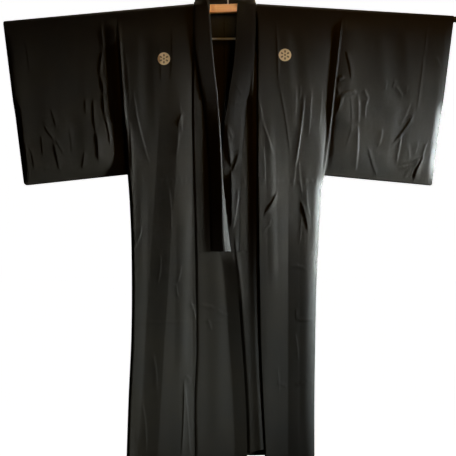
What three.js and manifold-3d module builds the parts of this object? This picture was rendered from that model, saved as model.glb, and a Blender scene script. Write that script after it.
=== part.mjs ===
// Men's full-length crested kimono, hung open at the front on a wooden kimono hanger.
// Millimetres, +Z up. The front faces -Y and the wearer's right is at -X.
// The origin is the inside top of the hanger's hook, where a rail carries it.
// A "drop" is a distance below the neck points of the shoulder line, and a "depth"
// is a distance in front of the hanger's plane, or behind it on the back.

import * as THREE from 'three';
import { mergeVertices } from 'three/addons/utils/BufferGeometryUtils.js';
import Module from 'manifold-3d';

// Cloth and seams
const CLOTH = 1.6;
const COLLAR_CLOTH = 2.6;
const OVER_COLLAR_CLOTH = 1.0;
const SEAM_GAP = 0.3;
const COLLAR_SEAM_GAP = 1.2;
const OVER_COLLAR_GAP = 0.9;
const CLOSED_DEPTH = CLOTH / 2 + SEAM_GAP / 2;

// Main sizes of the garment
const SHOULDER_Z = -96;
const HEM_DROP = 1384;
const HEM_LIFT = 24;
const CENTRE_X = -9;
const NECK_HALF = 97;
const NECK_SCOOP = 14;
const NECK_DEPTH = 13.6;
const ARMHOLE_DROP = 400;
const COLLAR_END_DROP = 755.7;
const OVER_COLLAR_DROP = 310;
const OKUMI_TIP_DROP = 150;
const OKUMI_WIDE_DROP = 757;
const FRONT_FULLNESS = { right: 20, left: 17 };
const BACK_FULLNESS = 17;
const SIDE_ROUNDING = 85;
const TOP_BLEND = 120;
const NECK_BLEND = 16;
const ARMHOLE_LOW_DEPTH = 7;
const ARMHOLE_TAPER = 300;
const ARMHOLE_CLOSING = 90;

// Main sizes of the sleeves
const SLEEVE_FULLNESS = 14;
const SLEEVE_TOP_BLEND = 60;
const SLEEVE_ROUNDING = 70;
const SLEEVE_BOTTOM_ROUNDING = 80;
const CUFF_TOP_DROP = 45;
const CUFF_CLOSING_DROP = 290;
const CUFF_CLOSING = 60;

// Hanger
const ARM_RADIUS = 9;
const ARM_CLEARANCE = 0.95;
const ROLL_RADIUS = ARM_RADIUS + ARM_CLEARANCE + CLOTH / 2;
const ARM_SLOPE = { right: 0.0916, left: 0.0608 };
const ARM_END_X = { right: -672, left: 706 };
const BAR_HALF_LENGTH = 70;
const BAR_HEIGHT = 26;
const BAR_DEPTH = 21;
const BAR_MIDDLE_Z = -111.5;
const BAR_TILT = 0.03;
const BOSS_START = 61;
const BOSS_WALL = 1.4;
const BOSS_CHAMFER = 3;
const SOCKET_DEPTH = 14;
const SOCKET_CLEARANCE = 0.3;
const HOOK_WIRE_RADIUS = 2;
const HOOK_INNER_RADIUS = 14;
const HOOK_STEM_TOP_Z = -46;
const OBI_ROD_RADIUS = 3.2;
const OBI_ROD_DROP = 105;
const OBI_ROD_HALF_LENGTH = 70;
const OBI_ROD_CORNER = 10;

// Rows of the cloth grids
const FRONT_DROPS = [
  110, OKUMI_TIP_DROP, 190, 232, 275, 310, 370, 430, 490, 543, 600, 680, 756,
  840, 930, 1020, 1110, 1200, 1290, HEM_DROP - HEM_LIFT, HEM_DROP,
];
const SHOULDER_SHARES = [0.3, 0.65];
const BACK_DROPS = [70, 130, 210, 300, ARMHOLE_DROP, 500, 620, 750, 880, 1010, 1140, 1260, HEM_DROP];
const ROLL_ANGLES = [0, 30, 60, 90, 120, 150, 180];
const SCOOP_ANGLES = [18, 36, 54, 72, 90];
const BODY_COLUMNS = 15;
const OKUMI_COLUMNS = 6;
const SLEEVE_COLUMNS = 12;
const SLEEVE_ROWS = 10;

// Outline of each half, by drop: the side, the front seam of the body panel, the collar's seam
const SIDES = {
  right: {
    sign: -1,
    side: [
      { drop: 20, x: -340.5 }, { drop: 521, x: -307 }, { drop: 600, x: -301 }, { drop: 752, x: -295 },
      { drop: 996, x: -295 }, { drop: 1208, x: -304 }, { drop: 1384, x: -310 },
    ],
    frontSeam: [
      { drop: 0, x: -106 }, { drop: 129, x: -107 }, { drop: 232, x: -110 }, { drop: 370, x: -110 },
      { drop: 524, x: -106 }, { drop: 756, x: -100 }, { drop: 1056, x: -96 }, { drop: 1208, x: -102 },
      { drop: 1384, x: -100 },
    ],
    collarSeam: [
      { drop: 0, x: -106 }, { drop: 129, x: -106 }, { drop: 232, x: -91 }, { drop: 257, x: -87 },
      { drop: 296, x: -79 }, { drop: 388, x: -68 }, { drop: 524, x: -59 }, { drop: 756, x: -53 },
    ],
    okumiEdge: [
      { drop: 757, x: 10 }, { drop: 798, x: 22 }, { drop: 843, x: 26 }, { drop: 965, x: 36.5 },
      { drop: 1147, x: 49.5 }, { drop: 1278, x: 56 }, { drop: 1384, x: 58 },
    ],
    sleeve: { cuffTopX: -687, cuffBottomX: -623, insideDrop: 521, cuffDrop: 555, corner: 12 },
  },
  left: {
    sign: 1,
    side: [
      { drop: 14, x: 350 }, { drop: 524, x: 295 }, { drop: 555, x: 287 }, { drop: 722, x: 277 },
      { drop: 844, x: 271 }, { drop: 996, x: 267.5 }, { drop: 1208, x: 264.5 }, { drop: 1384, x: 264.5 },
    ],
    frontSeam: [
      { drop: 0, x: 88 }, { drop: 370, x: 88 }, { drop: 600, x: 88.5 }, { drop: 1000, x: 94 },
      { drop: 1208, x: 103 }, { drop: 1384, x: 112 },
    ],
    collarSeam: [
      { drop: 0, x: 88 }, { drop: 175, x: 80.5 }, { drop: 257, x: 67 }, { drop: 296, x: 61 },
      { drop: 388, x: 50 }, { drop: 524, x: 41 }, { drop: 756, x: 35 },
    ],
    okumiEdge: [
      { drop: 757, x: -25 }, { drop: 965, x: -32 }, { drop: 1384, x: -38 },
    ],
    sleeve: { cuffTopX: 688.6, cuffBottomX: 623, insideDrop: 524, cuffDrop: 555, corner: 6 },
  },
};

// Largest folds: x at the start, middle and end of the fold, its drops, its widths to
// either side of the line, and how far it stands out (or in, when negative)
const FRONT_FOLDS = {
  right: [
    { name: 'seam ridge', from: 0, to: 1400, x0: -111, x1: -107, x2: -94, low: 34, high: 11, rise: 5 },
    { name: 'seam valley', from: 300, to: 1400, x0: -97, x1: -98, x2: -84, low: 9, high: 20, rise: -5 },
    { name: 'long trough', from: 90, to: 1384, x0: -165, x1: -205, x2: -246, low: 34, high: 30, rise: -7 },
    { name: 'side swell', from: 500, to: 1400, x0: -262, x1: -268, x2: -282, low: 18, high: 24, rise: 3.5 },
    { name: 'hem pleat', from: 1090, to: 1400, x0: -136, x1: -139, x2: -140, low: 14, high: 12, rise: -5 },
    { name: 'middle swell', from: 560, to: 1150, x0: -170, x1: -160, x2: -172, low: 26, high: 22, rise: 3 },
    { name: 'opening swell', from: 700, to: 1400, x0: -40, x1: -30, x2: -20, low: 36, high: 36, rise: 2.5 },
  ],
  left: [
    { name: 'seam valley', from: 20, to: 1400, x0: 84, x1: 84, x2: 108, low: 46, high: 24, rise: -8 },
    { name: 'seam ridge', from: 60, to: 1400, x0: 112, x1: 118, x2: 136, low: 24, high: 42, rise: 6 },
    { name: 'middle trough', from: 330, to: 1400, x0: 196, x1: 188, x2: 196, low: 36, high: 26, rise: -6 },
    { name: 'side swell', from: 420, to: 1400, x0: 238, x1: 234, x2: 236, low: 24, high: 20, rise: 5 },
    { name: 'chest fold', from: 30, to: 430, x0: 146, x1: 156, x2: 178, low: 14, high: 14, rise: 3 },
    { name: 'armhole valley', from: 10, to: 500, x0: 334, x1: 311, x2: 284, low: 18, high: 12, rise: -6 },
    { name: 'chest ridge', from: 240, to: 530, x0: 236, x1: 218, x2: 196, low: 14, high: 14, rise: 3.5 },
  ],
};

const BACK_FOLDS = {
  right: [
    { name: 'shoulder trough', from: 60, to: 700, x0: -80, x1: -96, x2: -120, low: 30, high: 30, rise: -5 },
    { name: 'long trough', from: 420, to: 1400, x0: -190, x1: -196, x2: -210, low: 30, high: 26, rise: -6 },
    { name: 'side swell', from: 520, to: 1400, x0: -250, x1: -256, x2: -266, low: 22, high: 24, rise: 4 },
    { name: 'hem trough', from: 860, to: 1400, x0: -70, x1: -74, x2: -82, low: 28, high: 24, rise: -4 },
  ],
  left: [
    { name: 'shoulder trough', from: 60, to: 640, x0: 64, x1: 80, x2: 98, low: 30, high: 30, rise: -5 },
    { name: 'long trough', from: 380, to: 1400, x0: 160, x1: 168, x2: 176, low: 26, high: 30, rise: -6 },
    { name: 'side swell', from: 480, to: 1400, x0: 226, x1: 224, x2: 228, low: 24, high: 18, rise: 4 },
    { name: 'hem trough', from: 900, to: 1400, x0: 60, x1: 62, x2: 70, low: 24, high: 28, rise: -4 },
  ],
};

const SLEEVE_FOLDS = {
  right: [
    { name: 'seam valley', from: 30, to: 480, x0: -366, x1: -354, x2: -336, low: 18, high: 14, rise: -5 },
    { name: 'inner ridge', from: 60, to: 470, x0: -392, x1: -384, x2: -366, low: 20, high: 18, rise: 3 },
    { name: 'low wrinkle', from: 330, to: 530, x0: -546, x1: -530, x2: -512, low: 18, high: 18, rise: 3 },
    { name: 'outer swell', from: 120, to: 500, x0: -600, x1: -596, x2: -586, low: 26, high: 26, rise: -2.5 },
  ],
  left: [
    { name: 'upright ridge', from: 250, to: 520, x0: 396, x1: 392, x2: 390, low: 16, high: 16, rise: 4 },
    { name: 'long slant', from: 240, to: 460, x0: 640, x1: 570, x2: 494, low: 22, high: 22, rise: 4 },
    { name: 'cuff slant', from: 400, to: 540, x0: 590, x1: 560, x2: 520, low: 18, high: 18, rise: 3.5 },
    { name: 'outer line', from: 40, to: 300, x0: 611, x1: 598, x2: 584, low: 16, high: 16, rise: 2.5 },
    { name: 'inner trough', from: 120, to: 480, x0: 440, x1: 436, x2: 430, low: 24, high: 24, rise: -3 },
  ],
};

// Collar band on the fronts, by drop: the crest and the free edge. The wearer's right side
// stands up as a ridge and lies over the left side.
const COLLAR_FRONT = {
  right: [
    { drop: 30, crestX: -58, crestDepth: 20, edgeX: -55, edgeDepth: 13.8 },
    { drop: 175, crestX: -46, crestDepth: 27, edgeX: -41, edgeDepth: 14.5 },
    { drop: 296, crestX: -32, crestDepth: 31, edgeX: -26, edgeDepth: 18 },
    { drop: 388, crestX: -24, crestDepth: 34, edgeX: -16, edgeDepth: 21 },
    { drop: 524, crestX: -18, crestDepth: 35, edgeX: -9, edgeDepth: 22 },
    { drop: 756, crestX: -18, crestDepth: 35, edgeX: 10, edgeDepth: 22.5 },
  ],
  left: [
    { drop: 30, crestX: 50, crestDepth: 16.5, edgeX: 27, edgeDepth: 14.6 },
    { drop: 175, crestX: 40, crestDepth: 16, edgeX: 18, edgeDepth: 13.6 },
    { drop: 296, crestX: 22, crestDepth: 15.5, edgeX: 0, edgeDepth: 13.6 },
    { drop: 388, crestX: 12, crestDepth: 15.5, edgeX: -11, edgeDepth: 14 },
    { drop: 524, crestX: 2, crestDepth: 16, edgeX: -20, edgeDepth: 15 },
    { drop: 756, crestX: -3, crestDepth: 16, edgeX: -26, edgeDepth: 15 },
  ],
};

// Collar band round the neck, by turn: degrees over the shoulder, then on round the back
const COLLAR_NECK = {
  right: [
    { turn: 0, crestX: -59, crestY: -20, crestDrop: 14, edgeX: -56, edgeY: -14, edgeDrop: 12 },
    { turn: 60, crestX: -66, crestY: -18.5, crestDrop: -4, edgeX: -59, edgeY: -14, edgeDrop: -12 },
    { turn: 120, crestX: -84, crestY: -11, crestDrop: -20, edgeX: -68, edgeY: -7, edgeDrop: -36 },
    { turn: 180, crestX: -96, crestY: 4, crestDrop: -20, edgeX: -82, edgeY: 6, edgeDrop: -44 },
    { turn: 216, crestX: -84, crestY: 15.5, crestDrop: -12, edgeX: -76, edgeY: 16, edgeDrop: -43 },
    { turn: 234, crestX: -62, crestY: 18, crestDrop: -10, edgeX: -58, edgeY: 20, edgeDrop: -41 },
    { turn: 270, crestX: CENTRE_X, crestY: 20, crestDrop: -8, edgeX: CENTRE_X, edgeY: 23, edgeDrop: -38 },
  ],
  left: [
    { turn: 0, crestX: 52, crestY: -18.5, crestDrop: 14, edgeX: 28, edgeY: -15, edgeDrop: 12 },
    { turn: 60, crestX: 56, crestY: -19, crestDrop: -2, edgeX: 33, edgeY: -15, edgeDrop: -10 },
    { turn: 120, crestX: 68, crestY: -11, crestDrop: -18, edgeX: 48, edgeY: -7, edgeDrop: -34 },
    { turn: 180, crestX: 78, crestY: 4, crestDrop: -20, edgeX: 64, edgeY: 6, edgeDrop: -44 },
    { turn: 216, crestX: 66, crestY: 15.5, crestDrop: -12, edgeX: 58, edgeY: 16, edgeDrop: -43 },
    { turn: 234, crestX: 44, crestY: 18, crestDrop: -10, edgeX: 40, edgeY: 20, edgeDrop: -41 },
    { turn: 270, crestX: CENTRE_X, crestY: 20, crestDrop: -8, edgeX: CENTRE_X, edgeY: 23, edgeDrop: -38 },
  ],
};
const CREST_SHARE = 0.62;
const COLLAR_SHARES = [0, 0.22, 0.44, CREST_SHARE, 0.8, 1];
const OVER_COLLAR_SHARES = [0.12, 0.22, 0.44, CREST_SHARE, 0.8, 0.98];

const rad = THREE.MathUtils.degToRad;
const clamp01 = (value) => Math.min(1, Math.max(0, value));
const smooth = (value) => clamp01(value) ** 2 * (3 - 2 * clamp01(value));
const mix = (a, b, share) => a + (b - a) * share;
const quarterSine = (value) => Math.sin((Math.PI / 2) * clamp01(value));

// Value of a table's column on a smooth curve through its rows
function along(rows, key, at, column) {
  const last = rows.length - 1;
  if (at <= rows[0][key]) return rows[0][column];
  if (at >= rows[last][key]) return rows[last][column];
  let k = 0;
  while (rows[k + 1][key] < at) k += 1;
  const span = rows[k + 1][key] - rows[k][key];
  const t = (at - rows[k][key]) / span;
  const slope = (i) => {
    const before = rows[Math.max(i - 1, 0)];
    const after = rows[Math.min(i + 1, last)];
    return ((after[column] - before[column]) / (after[key] - before[key])) * span;
  };
  const [a, b] = [rows[k][column], rows[k + 1][column]];
  return (
    a * (1 + 2 * t) * (1 - t) ** 2 + slope(k) * t * (1 - t) ** 2
    + b * t * t * (3 - 2 * t) + slope(k + 1) * t * t * (t - 1)
  );
}

// Height of the folds of one table at a place on the cloth
function foldsAt(folds, x, drop) {
  let height = 0;
  for (const fold of folds) {
    const t = (drop - fold.from) / (fold.to - fold.from);
    if (t <= 0 || t >= 1) continue;
    const line = mix(mix(fold.x0, fold.x1, t), mix(fold.x1, fold.x2, t), t);
    const reach = x < line ? fold.low : fold.high;
    const s = (x - line) / reach;
    if (Math.abs(s) < 1) height += fold.rise * (1 - s * s) ** 2 * smooth(t * 5) * smooth((1 - t) * 5);
  }
  return height;
}

// The armhole's seam is straight, so the sleeve and the body panel meet on one line
function sideX(side, drop) {
  const rows = SIDES[side].side;
  const [top, under] = rows;
  if (drop <= under.drop) return mix(top.x, under.x, (drop - top.drop) / (under.drop - top.drop));
  return along(rows.slice(1), 'drop', drop, 'x');
}

// Drop of the arm's axis under the shoulder at x
function armAxisDrop(side, x) {
  const { sign } = SIDES[side];
  const neckX = CENTRE_X + sign * NECK_HALF;
  return ARM_SLOPE[side] * sign * (x - neckX) + CLOTH / 2 + ROLL_RADIUS;
}

// Half the opening of the armhole, and of the closed side seam under it
function sideDepth(drop) {
  const open = mix(ROLL_RADIUS, ARMHOLE_LOW_DEPTH, smooth(drop / ARMHOLE_TAPER));
  return mix(open, CLOSED_DEPTH, smooth((drop - ARMHOLE_DROP + ARMHOLE_CLOSING) / ARMHOLE_CLOSING));
}

function bodyDepth(side, x, drop, fullness, folds) {
  const inside = Math.abs(sideX(side, drop) - x);
  const edge = sideDepth(drop);
  const swell = quarterSine(inside / SIDE_ROUNDING);
  const depth = mix(edge, fullness, swell) + foldsAt(folds, x, drop) * smooth(inside / 26);
  const below = drop - armAxisDrop(side, x);
  const insideNeck = NECK_HALF - Math.abs(x - CENTRE_X);
  const topDepth = mix(ROLL_RADIUS, NECK_DEPTH, smooth(insideNeck / NECK_BLEND));
  return mix(topDepth, depth, smooth(below / TOP_BLEND));
}

const frontDepth = (side, x, drop) => bodyDepth(side, x, drop, FRONT_FULLNESS[side], FRONT_FOLDS[side]);
const backDepth = (side, x, drop) => bodyDepth(side, x, drop, BACK_FULLNESS, BACK_FOLDS[side]);
const place = (x, y, drop) => new THREE.Vector3(x, y, SHOULDER_Z - drop);

// A closed wall round a grid of middle points. Across is the first index and along the
// second. The wall is thickened square to the sections, or to the surface itself.
function wallGeometry(grid, wall, { ring = false, toSurface = false } = {}) {
  const across = grid.length;
  const rows = grid[0].length;
  const step = (j) => (ring ? (j + rows) % rows : Math.min(Math.max(j, 0), rows - 1));
  const positions = [];
  for (const side of [1, -1]) {
    for (let i = 0; i < across; i += 1) {
      for (let j = 0; j < rows; j += 1) {
        const run = grid[i][step(j + 1)].clone().sub(grid[i][step(j - 1)]);
        const width = grid[Math.min(i + 1, across - 1)][j].clone().sub(grid[Math.max(i - 1, 0)][j]);
        const out = toSurface ? width.cross(run) : new THREE.Vector3(0, run.z, -run.y);
        out.normalize().multiplyScalar((side * wall) / 2);
        positions.push(...grid[i][j].clone().add(out).toArray());
      }
    }
  }
  const at = (side, i, j) => side * across * rows + i * rows + step(j);
  const index = [];
  const quad = (a, b, c, d) => index.push(a, b, c, a, c, d);
  const lastRow = ring ? rows : rows - 1;
  for (let i = 0; i < across - 1; i += 1) {
    for (let j = 0; j < lastRow; j += 1) {
      quad(at(0, i, j), at(0, i + 1, j), at(0, i + 1, j + 1), at(0, i, j + 1));
      quad(at(1, i, j), at(1, i, j + 1), at(1, i + 1, j + 1), at(1, i + 1, j));
    }
  }
  for (let j = 0; j < lastRow; j += 1) {
    quad(at(0, 0, j), at(0, 0, j + 1), at(1, 0, j + 1), at(1, 0, j));
    const i = across - 1;
    quad(at(0, i, j + 1), at(0, i, j), at(1, i, j), at(1, i, j + 1));
  }
  if (!ring) {
    for (let i = 0; i < across - 1; i += 1) {
      quad(at(0, i + 1, 0), at(0, i, 0), at(1, i, 0), at(1, i + 1, 0));
      const j = rows - 1;
      quad(at(0, i, j), at(0, i + 1, j), at(1, i + 1, j), at(1, i, j));
    }
  }
  const geometry = new THREE.BufferGeometry();
  geometry.setAttribute('position', new THREE.Float32BufferAttribute(positions, 3));
  geometry.setIndex(index);
  if (signedVolume(geometry) < 0) {
    for (let k = 0; k < index.length; k += 3) [index[k], index[k + 1]] = [index[k + 1], index[k]];
    geometry.setIndex(index);
  }
  geometry.computeVertexNormals();
  return geometry;
}

function signedVolume(geometry) {
  const { position } = geometry.attributes;
  const order = geometry.index.array;
  const corner = (k) => new THREE.Vector3().fromBufferAttribute(position, order[k]);
  let volume = 0;
  for (let k = 0; k < order.length; k += 3) volume += corner(k).dot(corner(k + 1).cross(corner(k + 2)));
  return volume;
}

const shares = (count) => Array.from({ length: count }, (_, k) => k / (count - 1));

// One body panel: a single length of cloth from the front hem over the shoulder to the back
// hem, from the front seam or the centre back seam out to the side
function bodyPanel(side) {
  const { sign, side: sideRows, frontSeam } = SIDES[side];
  const neckX = CENTRE_X + sign * NECK_HALF;
  const backX = CENTRE_X + (sign * SEAM_GAP) / 2;
  return shares(BODY_COLUMNS).map((share) => {
    const column = [];
    const shoulderX = mix(neckX, sideRows[0].x, share);
    const axisDrop = armAxisDrop(side, shoulderX);
    const front = (drop) => {
      const x = mix(along(frontSeam, 'drop', drop, 'x'), sideX(side, drop), share);
      column.push(place(x, -frontDepth(side, x, drop), drop));
    };
    [...FRONT_DROPS].reverse().forEach(front);
    [...SHOULDER_SHARES].reverse().forEach((part) => front(mix(axisDrop, FRONT_DROPS[0], part)));
    for (const angle of ROLL_ANGLES) {
      const turn = rad(angle);
      const x = mix(neckX, sideX(side, axisDrop), share);
      column.push(place(x, -ROLL_RADIUS * Math.cos(turn), axisDrop - ROLL_RADIUS * Math.sin(turn)));
    }
    const back = (insideX, drop) => {
      const x = mix(insideX, sideX(side, drop), share);
      column.push(place(x, backDepth(side, x, drop), drop));
    };
    for (const angle of SCOOP_ANGLES) {
      const scoopX = mix(backX, neckX, Math.cos(rad(angle)));
      back(scoopX, axisDrop + NECK_SCOOP * Math.sin(rad(angle)));
    }
    BACK_DROPS.forEach((drop) => back(backX, drop));
    return column;
  });
}

// The overlap strip beside the front opening: a point at the collar, full width to the hem.
// The left one's hem is lifted where it meets the body panel.
function okumiPanel(side) {
  const { sign, frontSeam, collarSeam, okumiEdge } = SIDES[side];
  const lifted = side === 'left';
  const used = (drop) => drop >= OKUMI_TIP_DROP && !(lifted && drop === HEM_DROP - HEM_LIFT);
  const drops = FRONT_DROPS.filter(used);
  drops.splice(drops.indexOf(OKUMI_WIDE_DROP - 1) + 1, 0, OKUMI_WIDE_DROP);
  return shares(OKUMI_COLUMNS).map((share) => drops.map((level) => {
    const lift = lifted && level === HEM_DROP ? HEM_LIFT * (1 - smooth(share / 0.6)) : 0;
    const drop = level - lift;
    const seamX = along(frontSeam, 'drop', drop, 'x') - sign * SEAM_GAP;
    const collarX = along(collarSeam, 'drop', drop, 'x') + sign * SEAM_GAP;
    const openX = drop >= OKUMI_WIDE_DROP ? along(okumiEdge, 'drop', drop, 'x') : collarX;
    const x = mix(seamX, openX, share);
    return place(x, -frontDepth(side, x, drop), drop);
  }));
}

// Half the depth of a sleeve: open at the armhole and the cuff, closed below them
function sleeveDepth(side, x, drop, share, bottom) {
  const cuffOpen = mix(ROLL_RADIUS, CLOSED_DEPTH, smooth((drop - CUFF_CLOSING_DROP) / CUFF_CLOSING));
  const low = mix(CLOSED_DEPTH, SLEEVE_FULLNESS, quarterSine((bottom - drop) / SLEEVE_BOTTOM_ROUNDING));
  const length = Math.abs(SIDES[side].sleeve.cuffTopX - SIDES[side].side[0].x);
  const fromSeam = quarterSine((share * length) / SLEEVE_ROUNDING);
  const fromCuff = quarterSine(((1 - share) * length) / SLEEVE_ROUNDING);
  const walls = mix(sideDepth(drop), mix(cuffOpen, low, fromCuff), fromSeam);
  const away = smooth(share * 9) * smooth((1 - share) * 9) * smooth((bottom - drop) / 50);
  const folds = foldsAt(SLEEVE_FOLDS[side], x, drop) * away;
  const below = drop - armAxisDrop(side, x);
  const open = Math.min(walls, low) + folds;
  return mix(ROLL_RADIUS, Math.max(open, CLOSED_DEPTH), smooth(below / SLEEVE_TOP_BLEND));
}

// One sleeve: a flat tube folded over the arm, its bottom closed, its cuff open at the top
function sleeve(side) {
  const { sign, sleeve: cut } = SIDES[side];
  const cuffShare = (drop) => (drop - CUFF_TOP_DROP) / (cut.cuffDrop - CUFF_TOP_DROP);
  const cuffX = (drop) => mix(cut.cuffTopX, cut.cuffBottomX, cuffShare(drop));
  const length = Math.abs(cut.cuffTopX - SIDES[side].side[0].x);
  const columns = shares(SLEEVE_COLUMNS - 2);
  columns.splice(columns.length - 1, 0, 1 - cut.corner / length, 1 - (cut.corner * 0.3) / length);
  return columns.map((share) => {
    const intoCorner = Math.max(cut.corner - (1 - share) * length, 0);
    const rounding = cut.corner - Math.sqrt(cut.corner ** 2 - intoCorner ** 2);
    const bottom = mix(cut.insideDrop, cut.cuffDrop, share) - rounding;
    const xAt = (drop) => mix(sideX(side, drop) + sign * SEAM_GAP, cuffX(drop), share);
    const topX = xAt(20);
    const axisDrop = armAxisDrop(side, topX);
    const column = [];
    const wall = (direction) => (row) => {
      const drop = mix(bottom, axisDrop, row / SLEEVE_ROWS);
      const x = xAt(drop);
      column.push(place(x, direction * sleeveDepth(side, x, drop, share, bottom), drop));
    };
    const rows = Array.from({ length: SLEEVE_ROWS }, (_, k) => k);
    rows.forEach(wall(-1));
    for (const angle of ROLL_ANGLES) {
      const drop = axisDrop - ROLL_RADIUS * Math.sin(rad(angle));
      column.push(place(xAt(axisDrop), -ROLL_RADIUS * Math.cos(rad(angle)), drop));
    }
    rows.reverse().forEach(wall(1));
    column.push(place(xAt(bottom), 0, bottom + CLOSED_DEPTH));
    return column;
  });
}

// A row across the collar: seam, crest and free edge
function collarRow(seam, crest, edge, acrossShares) {
  return acrossShares.map((share) => (
    share < CREST_SHARE
      ? seam.clone().lerp(crest, share / CREST_SHARE)
      : crest.clone().lerp(edge, (share - CREST_SHARE) / (1 - CREST_SHARE))
  ));
}

function collarFrontRow(side, drop, acrossShares) {
  const { sign, collarSeam } = SIDES[side];
  const table = COLLAR_FRONT[side];
  const seamX = along(collarSeam, 'drop', drop, 'x') - sign * COLLAR_SEAM_GAP;
  const seam = place(seamX, -frontDepth(side, seamX, drop), drop);
  const read = (column) => along(table, 'drop', drop, column);
  const crest = place(read('crestX'), -read('crestDepth'), drop);
  const edge = place(read('edgeX'), -read('edgeDepth'), drop);
  return collarRow(seam, crest, edge, acrossShares);
}

function collarNeckRow(side, turn, acrossShares) {
  const { sign } = SIDES[side];
  const table = COLLAR_NECK[side];
  const inset = 1.9;
  const axisDrop = CLOTH / 2 + ROLL_RADIUS;
  let seam;
  if (turn <= 180) {
    const angle = rad(turn);
    const x = CENTRE_X + sign * (NECK_HALF - inset);
    const radius = ROLL_RADIUS + 1;
    seam = place(x, -radius * Math.cos(angle), axisDrop - radius * Math.sin(angle));
  } else {
    const angle = rad(turn - 180);
    const x = CENTRE_X + sign * (NECK_HALF - inset) * Math.cos(angle);
    const drop = axisDrop + (NECK_SCOOP - inset / 2) * Math.sin(angle);
    seam = place(x, backDepth(side, x, drop), drop);
  }
  const read = (column) => along(table, 'turn', turn, column);
  const crest = place(read('crestX'), read('crestY'), read('crestDrop'));
  const edge = place(read('edgeX'), read('edgeY'), read('edgeDrop'));
  return collarRow(seam, crest, edge, acrossShares);
}

// The collar from its end on the right front, round the neck, to its end on the left front
function collarBand(acrossShares, endDrop) {
  const drops = [endDrop, ...FRONT_DROPS.filter((drop) => drop < endDrop).reverse(), 70, 30];
  const turns = [...ROLL_ANGLES, ...SCOOP_ANGLES.map((angle) => 180 + angle)];
  const half = (side) => [
    ...drops.map((drop) => collarFrontRow(side, drop, acrossShares)),
    ...turns.map((turn) => collarNeckRow(side, turn, acrossShares)),
  ];
  const rows = [...half('right'), ...half('left').slice(0, -1).reverse()];
  return acrossShares.map((_, i) => rows.map((row) => row[i]));
}

// The over-collar lies on the outside of the collar, so it is the collar's points moved out
function overCollarBand() {
  const band = collarBand(OVER_COLLAR_SHARES, OVER_COLLAR_DROP);
  const away = COLLAR_CLOTH / 2 + OVER_COLLAR_GAP + OVER_COLLAR_CLOTH / 2;
  return band.map((column, i) => column.map((point, j) => {
    const run = column[Math.min(j + 1, column.length - 1)].clone().sub(column[Math.max(j - 1, 0)]);
    const width = band[Math.min(i + 1, band.length - 1)][j].clone().sub(band[Math.max(i - 1, 0)][j]);
    return point.clone().add(run.cross(width).normalize().multiplyScalar(-away));
  }));
}

function armPoint(side, x) {
  return place(x, 0, armAxisDrop(side, x));
}

// A round rod with a slightly rounded tip, from a point along a direction
function rod(start, end, radius, tip = 2) {
  const length = start.distanceTo(end);
  const profile = [[0, 0], [radius, 0], [radius, length - tip]];
  for (const angle of [30, 60]) {
    const turn = rad(angle);
    profile.push([radius - tip + tip * Math.cos(turn), length - tip + tip * Math.sin(turn)]);
  }
  profile.push([radius - tip, length], [0, length]);
  const geometry = new THREE.LatheGeometry(profile.map((pair) => new THREE.Vector2(...pair)), 20);
  const up = new THREE.Vector3(0, 1, 0);
  const turn = new THREE.Quaternion().setFromUnitVectors(up, end.clone().sub(start).normalize());
  return geometry.applyQuaternion(turn).translate(start.x, start.y, start.z);
}

function hangerArm(side) {
  const { sign } = SIDES[side];
  const startX = sign * (BAR_HALF_LENGTH - SOCKET_DEPTH + SOCKET_CLEARANCE);
  return rod(armPoint(side, startX), armPoint(side, ARM_END_X[side]), ARM_RADIUS);
}

const wasm = await Module();
wasm.setup();

function solid(geometry) {
  const plain = geometry.clone();
  plain.deleteAttribute('normal');
  plain.deleteAttribute('uv');
  const merged = mergeVertices(plain, 1e-4);
  return new wasm.Manifold(new wasm.Mesh({
    numProp: 3,
    vertProperties: Float32Array.from(merged.attributes.position.array),
    triVerts: Uint32Array.from(merged.index.array),
  }));
}

function geometryOf(manifold) {
  const mesh = manifold.getMesh();
  const geometry = new THREE.BufferGeometry();
  geometry.setAttribute('position', new THREE.Float32BufferAttribute(mesh.vertProperties, 3));
  geometry.setIndex(Array.from(mesh.triVerts));
  geometry.computeVertexNormals();
  return geometry;
}

const barZ = (x) => BAR_MIDDLE_Z + BAR_TILT * x;

// The wooden bar, its ends raised to take the arms in blind sockets
function hangerBar() {
  const half = BAR_HEIGHT / 2;
  const outline = new THREE.Shape();
  const top = (side) => armPoint(side, SIDES[side].sign * BAR_HALF_LENGTH).z + ARM_RADIUS + BOSS_WALL;
  outline.moveTo(-BAR_HALF_LENGTH, barZ(-BAR_HALF_LENGTH) - half);
  outline.lineTo(BAR_HALF_LENGTH, barZ(BAR_HALF_LENGTH) - half);
  outline.lineTo(BAR_HALF_LENGTH, top('left'));
  outline.lineTo(BOSS_START + BOSS_CHAMFER, top('left') + 0.5);
  outline.lineTo(BOSS_START - BOSS_CHAMFER, barZ(BOSS_START) + half);
  outline.lineTo(-BOSS_START + BOSS_CHAMFER, barZ(-BOSS_START) + half);
  outline.lineTo(-BOSS_START - BOSS_CHAMFER, top('right') + 0.5);
  outline.lineTo(-BAR_HALF_LENGTH, top('right'));
  outline.closePath();
  const block = new THREE.ExtrudeGeometry(outline, { depth: BAR_DEPTH, bevelEnabled: false });
  block.rotateX(Math.PI / 2).translate(0, BAR_DEPTH / 2, 0);
  let bar = solid(block);
  for (const side of ['right', 'left']) {
    const { sign } = SIDES[side];
    const inner = armPoint(side, sign * (BAR_HALF_LENGTH - SOCKET_DEPTH));
    const outer = armPoint(side, sign * (BAR_HALF_LENGTH + 10));
    bar = bar.subtract(solid(rod(inner, outer, ARM_RADIUS + SOCKET_CLEARANCE)));
  }
  return geometryOf(bar);
}

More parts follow.
